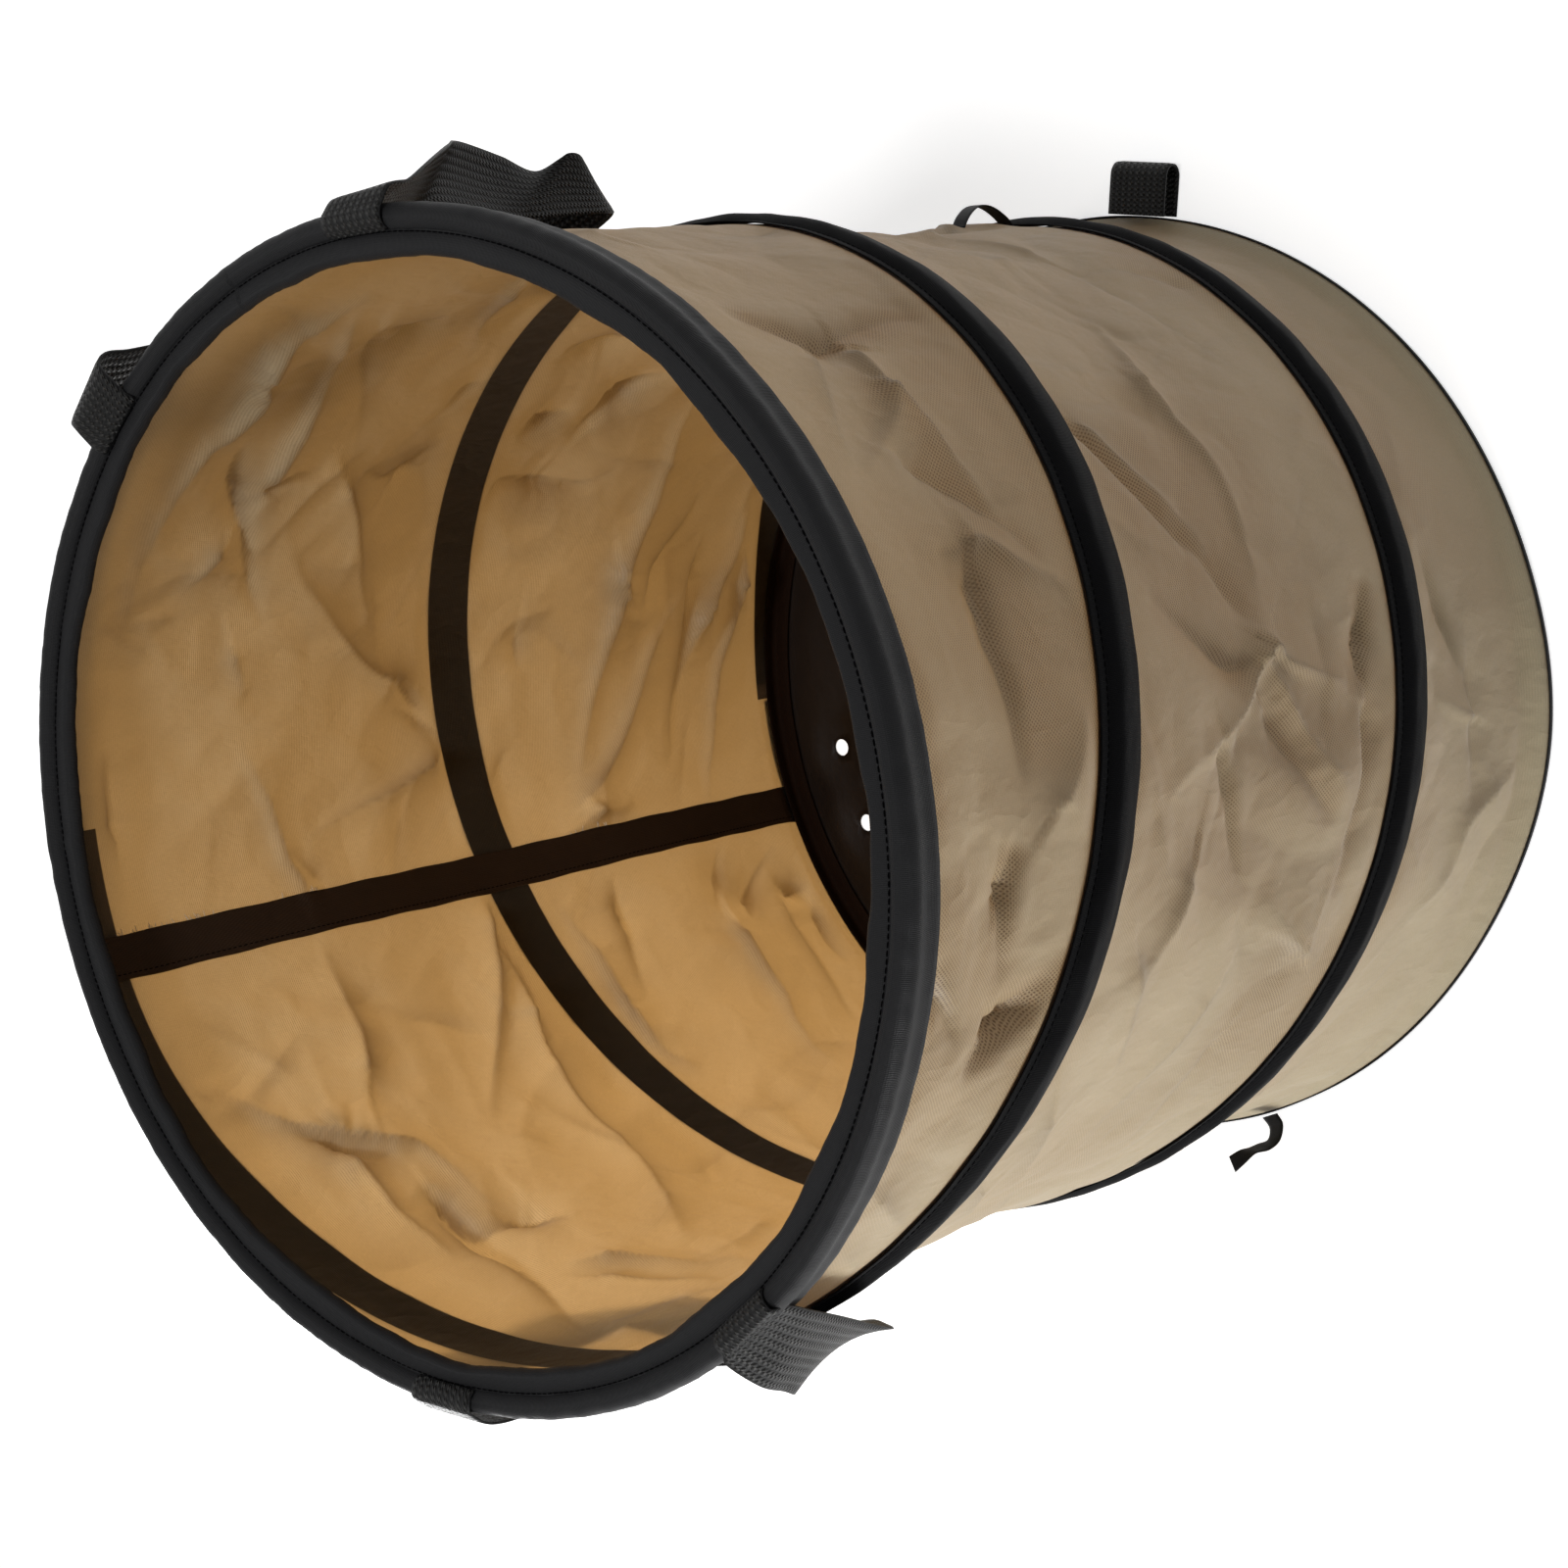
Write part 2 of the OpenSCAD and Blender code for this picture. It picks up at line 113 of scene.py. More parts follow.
def polar(radius, degrees, z):
    """Points of a cylinder's skin, as an array that ends in x, y, z."""
    a = np.radians(degrees)
    return np.stack(grids(radius * np.cos(a), radius * np.sin(a), z), axis=-1)


def noise3(points, seed):
    """Smooth gradient noise from -1 to 1 at points, the same on every run."""
    points = np.asarray(points, float)
    cell = np.floor(points).astype(np.int64)
    local = points - cell
    blend = local * local * local * (local * (local * 6 - 15) + 10)
    total = np.zeros(points.shape[:-1])
    for corner in np.ndindex(2, 2, 2):
        at = cell + np.array(corner)
        mixed = (at[..., 0] * 73856093 ^ at[..., 1] * 19349663 ^ at[..., 2] * 83492791
                 ^ seed * 2654435761)
        mixed = (mixed ^ (mixed >> 13)) * 1274126177
        mixed = (mixed ^ (mixed >> 16)) & 0xFFFFFF
        turn = 2 * math.pi * (mixed & 0xFFF) / 4096
        lift = 2 * (mixed >> 12) / 4096 - 1
        flat = np.sqrt(1 - lift * lift)
        offset = local - np.array(corner)
        slope = (flat * np.cos(turn) * offset[..., 0] + flat * np.sin(turn) * offset[..., 1]
                 + lift * offset[..., 2])
        weight = np.prod([blend[..., i] if c else 1 - blend[..., i] for i, c in enumerate(corner)], axis=0)
        total += weight * slope
    return total * 1.6


def grids(*values):
    """The values as arrays of one shape."""
    return np.broadcast_arrays(*(np.asarray(v, float) for v in values))


def unit(vectors):
    return vectors / np.linalg.norm(vectors, axis=1, keepdims=True)


def distances(points, power=1):
    """How far along a path each of its points lies."""
    return np.concatenate([[0], np.cumsum(np.linalg.norm(np.diff(points, axis=0), axis=1) ** power)])


def ring(centre, radius, side, up, count):
    """Circles of count points round the rows of centre."""
    return np.stack([centre + radius * (math.cos(a) * side + math.sin(a) * up)
                     for a in np.linspace(0, 2 * math.pi, count, endpoint=False)], axis=1)


def coil_height(t):
    """Height of the spring wire after it has wound through t degrees."""
    t = np.asarray(t, float)
    rise = (COIL_TOP - COIL_BOTTOM) / (COIL_TURNED - 2 * COIL_TUCK - COIL_RUN_IN)
    up = np.clip(t - COIL_TUCK, 0, None)
    down = np.clip(COIL_TURNED - COIL_TUCK - t, 0, None)
    even = COIL_BOTTOM + rise * (up - COIL_RUN_IN / 2)
    even = np.where(up < COIL_RUN_IN, COIL_BOTTOM + rise * up ** 2 / (2 * COIL_RUN_IN), even)
    even = np.where(down < COIL_RUN_IN, COIL_TOP - rise * down ** 2 / (2 * COIL_RUN_IN), even)

    def hump(start, stop):
        return np.sin(math.pi * np.clip((t - start) / (stop - start), 0, 1)) ** 2

    return even + COIL_LIFT * hump(0, 200) - COIL_SAG * hump(COIL_TURNED - 375, COIL_TURNED - 55)


def coil_radius(t):
    tail = (np.minimum(t, COIL_TURNED - t) - COIL_TUCK) / COIL_RUN_IN
    return COIL_RADIUS + (HOOP_RADIUS - COIL_RADIUS) * (1 - ease(tail))


# ---- Meshes ----

def new_object(name, vertices, faces, cloth=None, smooth=True, **values):
    """A mesh object; cloth is each vertex's place on the flat cloth in millimetres."""
    mesh = bpy.data.meshes.new(name)
    mesh.from_pydata([tuple(v) for v in np.asarray(vertices).reshape(-1, 3)], [], faces)
    if cloth is not None:
        flat = np.zeros((len(mesh.vertices), 3), np.float32)
        flat[:, :cloth.reshape(-1, cloth.shape[-1]).shape[1]] = cloth.reshape(-1, cloth.shape[-1])
        mesh.attributes.new("cloth", "FLOAT_VECTOR", "POINT").data.foreach_set("vector", flat.ravel())
    for key, value in values.items():
        mesh.attributes.new(key, "FLOAT", "POINT").data.foreach_set("value", value.astype(np.float32).ravel())
    mesh.polygons.foreach_set("use_smooth", [smooth] * len(mesh.polygons))
    mesh.update()
    obj = bpy.data.objects.new(name, mesh)
    bpy.context.scene.collection.objects.link(obj)
    return obj


def grid_faces(rows, columns, closed_rows=False, closed_columns=False):
    """Quads of a grid of points; a closed side joins its last line to its first."""
    i = np.arange(rows if closed_rows else rows - 1)
    j = np.arange(columns if closed_columns else columns - 1)
    i, j = np.meshgrid(i, j, indexing="ij")
    below, beside = (i + 1) % rows, (j + 1) % columns
    corners = [(i, j), (below, j), (below, beside), (i, beside)]
    return np.stack([row * columns + column for row, column in corners], -1).reshape(-1, 4).tolist()


def swept(name, rings, cloth, closed=False):
    """A tube through closed rings of points, with flat ends where it isn't closed."""
    count, sides = rings.shape[:2]
    faces = grid_faces(count, sides, closed_rows=closed, closed_columns=True)
    if not closed:
        faces.append(list(range(sides)))
        faces.append([(count - 1) * sides + k for k in reversed(range(sides))])
    return new_object(name, rings, faces, cloth)


def tape_ring(path, thickness):
    """Closed outline of a bent tape in its section, with rounded edges, and each point's place across it."""
    path = np.asarray(path, float)
    step = unit(np.gradient(path, axis=0))
    square = np.stack([step[:, 1], -step[:, 0]], axis=1)
    across = distances(path)
    half = thickness / 2
    front, back = path + half * square, (path - half * square)[::-1]
    far, near = path[-1] + half * 0.8 * step[-1], path[0] - half * 0.8 * step[0]
    outline = np.concatenate([front, [far], back, [near]])
    return outline, np.concatenate([across, [across[-1]], across[::-1], [0]])


def wound(name, rings, turned, radius, across, closed=True):
    """A tape swept through rings round the bag, with its place on the flat cloth."""
    along = np.radians(turned)[:, None] * radius
    return swept(name, rings, np.stack(grids(along / MM, across / MM), axis=-1), closed)


def cut_flat(obj, z, keep_above):
    """Cuts a closed mesh at a height and caps it."""
    mesh = bmesh.new()
    mesh.from_mesh(obj.data)
    cut = bmesh.ops.bisect_plane(mesh, geom=mesh.verts[:] + mesh.edges[:] + mesh.faces[:], dist=1e-7,
                                 plane_co=(0, 0, z), plane_no=(0, 0, 1),
                                 clear_inner=keep_above, clear_outer=not keep_above)
    edges = [e for e in cut["geom_cut"] if isinstance(e, bmesh.types.BMEdge)]
    bmesh.ops.holes_fill(mesh, edges=edges, sides=0)
    mesh.to_mesh(obj.data)
    mesh.free()
    obj.data.polygons.foreach_set("use_smooth", [True] * len(obj.data.polygons))


# Along a stitch: the share of its length, then the height and the radius in radii of the thread.
THREAD_FORM = [(0, -0.9, 0.5), (0.14, 0.2, 0.9), (0.5, 0.55, 1), (0.86, 0.2, 0.9), (1, -0.9, 0.5)]


def stitches(name, starts, ends, outward, thread):
    """Short threads that dive into the cloth at both ends, all in one mesh."""
    starts, ends, outward = (np.asarray(v, float) for v in (starts, ends, outward))
    along = ends - starts
    length = np.linalg.norm(along, axis=1, keepdims=True)
    along = along / length
    side = unit(np.cross(outward, along))
    up = np.cross(along, side)
    rings = []
    for share, lift, width in THREAD_FORM:
        middle = starts + along * length * share + up * lift * thread
        rings.append(ring(middle, thread * width, side, up, 6))
    points = np.stack(rings, axis=1)
    count, steps, sides = points.shape[:3]
    one = grid_faces(steps, sides, closed_columns=True)
    one += [list(range(sides))[::-1], [(steps - 1) * sides + k for k in range(sides)]]
    faces = [[k + n * steps * sides for k in face] for n in range(count) for face in one]
    return new_object(name, points, faces)


# ---- Materials, with lengths on the cloth in millimetres ----

PORE_PITCH = 2.1
YARN_PITCH = 3.1
YARN_WIDTH = 4.2


class Shader:
    """The nodes of a material or of the world, with short helpers."""

    def __init__(self, owner, output="ShaderNodeOutputMaterial"):
        owner.use_nodes = True
        self.owner = owner
        self.nodes = owner.node_tree.nodes
        self.links = owner.node_tree.links
        self.nodes.clear()
        self.output = self.nodes.new(output)

    def add(self, kind, inputs=(), **settings):
        node = self.nodes.new(kind)
        for key, value in settings.items():
            setattr(node, key, value)
        for key, value in dict(inputs).items():
            if isinstance(value, bpy.types.NodeSocket):
                self.links.new(value, node.inputs[key])
            else:
                node.inputs[key].default_value = value
        return node

    def math(self, operation, a, b=0.0, c=0.0, clamp=False):
        return self.add("ShaderNodeMath", {0: a, 1: b, 2: c}, operation=operation, use_clamp=clamp).outputs[0]

    def value(self, name, output="Fac"):
        """A value that new_object() left on the mesh."""
        return self.add("ShaderNodeAttribute", attribute_name=name, attribute_type="GEOMETRY").outputs[output]

    def cloth(self):
        """Place on the flat cloth in millimetres, then its parts: along, across and one more."""
        place = self.value("cloth", "Vector")
        node = self.add("ShaderNodeSeparateXYZ", {0: place})
        return place, node.outputs[0], node.outputs[1], node.outputs[2]

    def wave(self, value, pitch):
        """0 to 1 and back once in every pitch."""
        turned = self.math("MULTIPLY", value, 2 * math.pi / pitch)
        return self.math("MULTIPLY_ADD", self.math("SINE", turned), 0.5, 0.5)

    def noise(self, vector, scale, detail=2.0, roughness=0.5):
        return self.add("ShaderNodeTexNoise", {"Vector": vector, "Scale": scale, "Detail": detail,
                                               "Roughness": roughness}).outputs["Fac"]

    def mix(self, share, a, b):
        node = self.add("ShaderNodeMix", {0: share}, data_type="RGBA")
        for socket, value in ((node.inputs[6], a), (node.inputs[7], b)):
            if isinstance(value, bpy.types.NodeSocket):
                self.links.new(value, socket)
            else:
                socket.default_value = (*value, 1)
        return node.outputs[2]

    def coats(self, colour, *layers):
        """Lays tones over a colour; each has a mask and the share of it that counts."""
        for mask, share, tone in layers:
            colour = self.mix(self.math("MULTIPLY", mask, share), colour, tone)
        return colour

    def stretch(self, vector, scale):
        return self.add("ShaderNodeMapping", {"Vector": vector, "Scale": scale}).outputs[0]

    def bump(self, height, strength, distance, normal=None):
        inputs = {"Height": height, "Strength": strength, "Distance": distance}
        if normal is not None:
            inputs["Normal"] = normal
        return self.add("ShaderNodeBump", inputs).outputs["Normal"]

    def principled(self, colour, roughness, specular, normal=None, sheen=0.0, fuzz=0.5, metallic=0.0):
        inputs = {"Base Color": colour, "Roughness": roughness, "Specular IOR Level": specular,
                  "Sheen Weight": sheen, "Sheen Roughness": fuzz, "Metallic": metallic}
        if normal is not None:
            inputs["Normal"] = normal
        return self.add("ShaderNodeBsdfPrincipled", inputs).outputs[0]

    def finish(self, surface):
        self.links.new(surface, self.output.inputs["Surface"])
        return self.owner


def wall_material():
    """Thin tan weave that lets light through. Where it is pulled open, rows of dark pores show. Its colour
    also carries painted shade: along the folds, in the rib grooves, where the spring's casing lies behind the
    cloth, and in the open patches that grow towards the bag's shaded side.
    """
    s = Shader(bpy.data.materials.new("wall_cloth"))
    # The cloth's third part is how open the weave is. It also carries painted shade on the bag's shaded side.
    cloth, along, height, open_and_shaded = s.cloth()
    # Painted shade along the folds, darkest on each fold's steep side.
    doubled = s.value("doubled")
    # Painted shadow: the cloth's own colour and the light it lets through are both darkened where the
    # spring's casing lies behind it.
    taped = s.math("MULTIPLY_ADD", s.value("taped"), 1.2, 0.5, clamp=True)
    slant = s.wave(s.math("ADD", along, height), PORE_PITCH)
    other = s.wave(s.math("SUBTRACT", along, height), PORE_PITCH)
    pores = s.math("MULTIPLY", s.math("POWER", s.math("MULTIPLY", slant, other), 0.8), open_and_shaded)
    # Painted shade: the rib grooves, which the bump sinks, are coated darker.
    ribs = s.math("MULTIPLY", s.wave(height, 1.25), s.math("MULTIPLY_ADD", s.wave(along, 1.0), 0.4, 0.6))
    slub = s.noise(s.stretch(cloth, (0.5, 2.4, 0)), 0.9, 3.0, 0.65)
    light = s.mix(s.noise(cloth, 0.016, 3.0), (0.655, 0.550, 0.345), (0.700, 0.610, 0.405))
    colour = s.coats(light, (slub, 0.55, (0.36, 0.285, 0.185)), (ribs, 0.22, (0.30, 0.23, 0.15)),
                     (doubled, 0.55, (0.27, 0.19, 0.105)), (open_and_shaded, 0.75, (0.56, 0.42, 0.225)),
                     (pores, 1.0, (0.045, 0.018, 0.007)), (taped, 0.93, (0.014, 0.008, 0.004)))
    glow = s.mix(slub, (0.60, 0.335, 0.110), (0.32, 0.155, 0.042))
    through = s.coats(glow, (pores, 0.35, (0.20, 0.10, 0.03)), (doubled, 0.85, (0.11, 0.045, 0.011)),
                      (taped, 1.0, (0.03, 0.015, 0.006)))
    weave = s.bump(s.math("SUBTRACT", slub, ribs), 0.30, 0.0004)
    spread = s.stretch(cloth, (1.0, 0.55, 0))
    sharp = s.math("ABSOLUTE", s.math("SUBTRACT", s.noise(spread, 0.030, 3.0, 0.55), 0.5))
    crinkle = s.bump(s.noise(cloth, 0.10, 3.0), 0.28, 0.0014, s.bump(sharp, 0.5, 0.006, weave))
    front = s.principled(colour, 0.5, 0.5, crinkle, sheen=0.25, fuzz=0.4)
    back = s.add("ShaderNodeBsdfTranslucent", {"Color": through, "Normal": crinkle}).outputs[0]
    return s.finish(s.add("ShaderNodeMixShader", {0: 0.37, 1: front, 2: back}).outputs[0])


def shades(tone, *factors):
    return [[c * factor for c in tone] for factor in factors]


def black_tape_material(name, rib_pitch, slant, tone, gloss=0.08, sheen=0.02):
    """Black tape: fine ribs that run straight across it or slant, with worn, paler spots. The ribs' crests
    carry a painted highlight and their grooves painted shade.
    """
    s = Shader(bpy.data.materials.new(name))
    cloth, along, across, _ = s.cloth()
    ribs = s.wave(s.math("MULTIPLY_ADD", across, slant, along), rib_pitch)
    height = s.math("MULTIPLY_ADD", s.wave(across, rib_pitch * 1.3), 0.35, ribs)
    # Painted light: the rib crests are paler and the grooves darker.
    dark, pale, worn = shades(tone, 0.55, 1.5, 1.9)
    spots = s.mix(s.noise(cloth, 0.8, 3.0, 0.7), tone, worn)
    colour = s.coats(s.mix(ribs, dark, pale), (s.noise(cloth, 0.03, 2.0), 0.5, spots))
    soft = s.bump(s.noise(cloth, 0.07, 3.0), 0.3, 0.0015, s.bump(height, 0.5, 0.0003))
    return s.finish(s.principled(colour, 0.5, gloss, soft, sheen=sheen, fuzz=0.45))


def webbing_material():
    """Coarse black webbing: rows of plump yarns laid like bricks, with a satin shine, partly from the shader
    and partly painted: the yarns' tops carry a painted highlight and the gaps between them painted shade.
    """
    s = Shader(bpy.data.materials.new("webbing"))
    cloth, along, across, _ = s.cloth()
    column = s.math("FLOOR", s.math("DIVIDE", across, YARN_WIDTH))
    shifted = s.math("MULTIPLY_ADD", s.math("MODULO", column, 2.0), YARN_PITCH / 2, along)
    lean = s.math("MULTIPLY_ADD", across, 0.35, shifted)
    bead = s.math("MULTIPLY", s.math("POWER", s.wave(lean, YARN_PITCH), 1.5),
                  s.math("POWER", s.wave(s.math("ADD", across, YARN_WIDTH / 4), YARN_WIDTH), 1.1))
    hair = s.noise(s.stretch(cloth, (3.2, 0.8, 1)), 1.1, 3.0, 0.7)
    # Painted light: each bead's top is pale and the gaps between the beads are dark.
    colour = s.mix(s.math("MULTIPLY", bead, s.math("MULTIPLY_ADD", hair, 0.7, 0.4)),
                   (0.0008, 0.0008, 0.0009), (0.080, 0.077, 0.072))
    normal = s.bump(s.math("MULTIPLY_ADD", hair, 0.15, bead), 1.0, 0.0022)
    return s.finish(s.principled(colour, 0.42, 0.14, normal, sheen=0.02, fuzz=0.35))


def base_cloth_material():
    s = Shader(bpy.data.materials.new("base_cloth"))
    cloth, along, across, _ = s.cloth()
    weave = s.math("MULTIPLY", s.wave(along, 0.8), s.wave(across, 0.8))
    colour = s.mix(s.noise(cloth, 0.02, 4.0), (0.0038, 0.0020, 0.0013), (0.0100, 0.0052, 0.0033))
    normal = s.bump(s.noise(cloth, 0.05, 3.0), 0.4, 0.002, s.bump(weave, 0.4, 0.0002))
    return s.finish(s.principled(colour, 0.5, 0.2, normal))


def thread_material(name, tone, sheen=0.2):
    s = Shader(bpy.data.materials.new(name))
    place = s.add("ShaderNodeTexCoord").outputs["Object"]
    colour = s.mix(s.noise(place, 900.0, 2.0), *shades(tone, 0.6, 1.5))
    normal = s.bump(s.noise(place, 2500.0, 1.0), 0.4, 0.0002)
    return s.finish(s.principled(colour, 0.6, sheen, normal, sheen=sheen))


def steel_material(name, tone, rough):
    s = Shader(bpy.data.materials.new(name))
    place = s.add("ShaderNodeTexCoord").outputs["Object"]
    drawn = s.noise(place, 300.0, 4.0, 0.7)
    colour = s.mix(drawn, *shades(tone, 0.8, 1))
    roughness = s.math("MULTIPLY_ADD", drawn, 0.25, rough)
    return s.finish(s.principled(colour, roughness, 0.5, s.bump(drawn, 0.15, 0.0002), metallic=1.0))


BINDING_TONE = (0.0105, 0.0105, 0.0112)
# Painted shade: the spring's casing is the same grosgrain as the mouth binding, given a darker tone for its
# shaded place.
SHADED_CASING_TONE = (0.0042, 0.0042, 0.0046)
# Painted shade: the base seam tape is the side seam tape's kind, given a darker tone for the shade at the
# bag's bottom.
SHADED_BASE_SEAM_TONE = (0.0090, 0.0046, 0.0028)
MATERIALS = {
    "wall": wall_material(),
    "twill": black_tape_material("binding_twill", 0.9, 0.55, BINDING_TONE),
    "grosgrain": black_tape_material("binding_grosgrain", 0.8, 0.0, BINDING_TONE),
    "casing": black_tape_material("shaded_casing_grosgrain", 0.8, 0.0, SHADED_CASING_TONE, gloss=0.02, sheen=0.0),
    "seam": black_tape_material("seam_tape", 0.8, 0.0, (0.0330, 0.0200, 0.0125)),
    "base_seam": black_tape_material("base_seam_tape", 0.8, 0.0, SHADED_BASE_SEAM_TONE, gloss=0.02, sheen=0.0),
    "trim": black_tape_material("trim_tape", 0.7, 0.0, (0.010, 0.010, 0.011)),
    "webbing": webbing_material(),
    "base": base_cloth_material(),
    "thread": thread_material("black_thread", (0.0035, 0.0035, 0.0038), 0.0),
    "pale_thread": thread_material("pale_thread", (0.55, 0.50, 0.42)),
    "wire": steel_material("spring_steel", (0.56, 0.57, 0.59), 0.22),
    "sleeve": steel_material("zinc_sleeve", (0.46, 0.47, 0.49), 0.35),
}


def dress(obj, material, slot, *nodes):
    """Gives a new piece its material and hides the CAD nodes that it stands for. slot is not used."""
    obj.data.materials.clear()
    obj.data.materials.append(MATERIALS[material])
    if nodes:
        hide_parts(*nodes)
    return obj


def sink(obj):
    """The piece moves with the base's body, with a mesh of its own."""
    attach(obj, "base")
    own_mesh(obj)


def sew(name, place, begin, pitch, outward, thread=0.3 * MM):
    """A row of stitches; place() turns each number of begin into a point."""
    seam = stitches(name, place(begin), place(begin + pitch * STITCH_SHARE), outward, thread)
    return dress(seam, "thread", "binding")


# ---- Wall ----

WALL_COLUMNS = 660
WALL_ROWS = 236
WALL_DRAW_IN = 8 * MM
FULL_SPAN = 0.28
FLARE_HEIGHT = 18 * MM
FLARE_GAP = 0.9 * MM
BULGE = 5 * MM
BULGE_ANGLE = 243
BULGE_SPREAD = 18
SHADED_ANGLE = 285
# The cloth lies calm at the spring, the base, the mouth and the seam: how far, and how soon it is free.
SPRING_CALM = (13 * MM, 17 * MM)
BASE_CALM = (8 * MM, 26 * MM)
MOUTH_CALM = (16 * MM, 24 * MM)
SEAM_CALM = 26 * MM
SEAM_CALM_SHARE = 0.75
SPRING_HEM = (17 * MM, 10 * MM)
# The crumple beneath the folds, from the broadest waves to the finest.
BROAD_RELIEF = 4 * MM
RIDGE_RELIEF = 7 * MM
SMALL_RELIEF = 2.2 * MM
# A fold: its two sides in shares of its width, how far off it is felt, and the painted shade along its edge.
STEEP_SIDE = 0.5
SLACK_SIDE = 1.6
FOLD_REACH = 4.5
CREASE_EDGE = 1.1 * MM
FOLD_GAIN = 1.6
FULL_LIFT = 4
FOLD_SHADE_SHARE = 1.1
FOLD_SHADE_EDGE = 1.6 * MM
# Folds by chance, as ranges in millimetres: lower where the photo shows the cloth, and calm beside it.
CHANCE_FOLDS = 190
CHANCE_HEIGHT = (40, 570)
CHANCE_LENGTH = (35, 110)
CHANCE_LIFT = (1.0, 3.2)
CHANCE_WIDTH = (5, 12)
CHANCE_LEAN = 38
CHANCE_BEND = 0.16
SHOWN_OUTSIDE = (200, 310)
SHOWN_INSIDE = 165
CALM_SIDE = 222

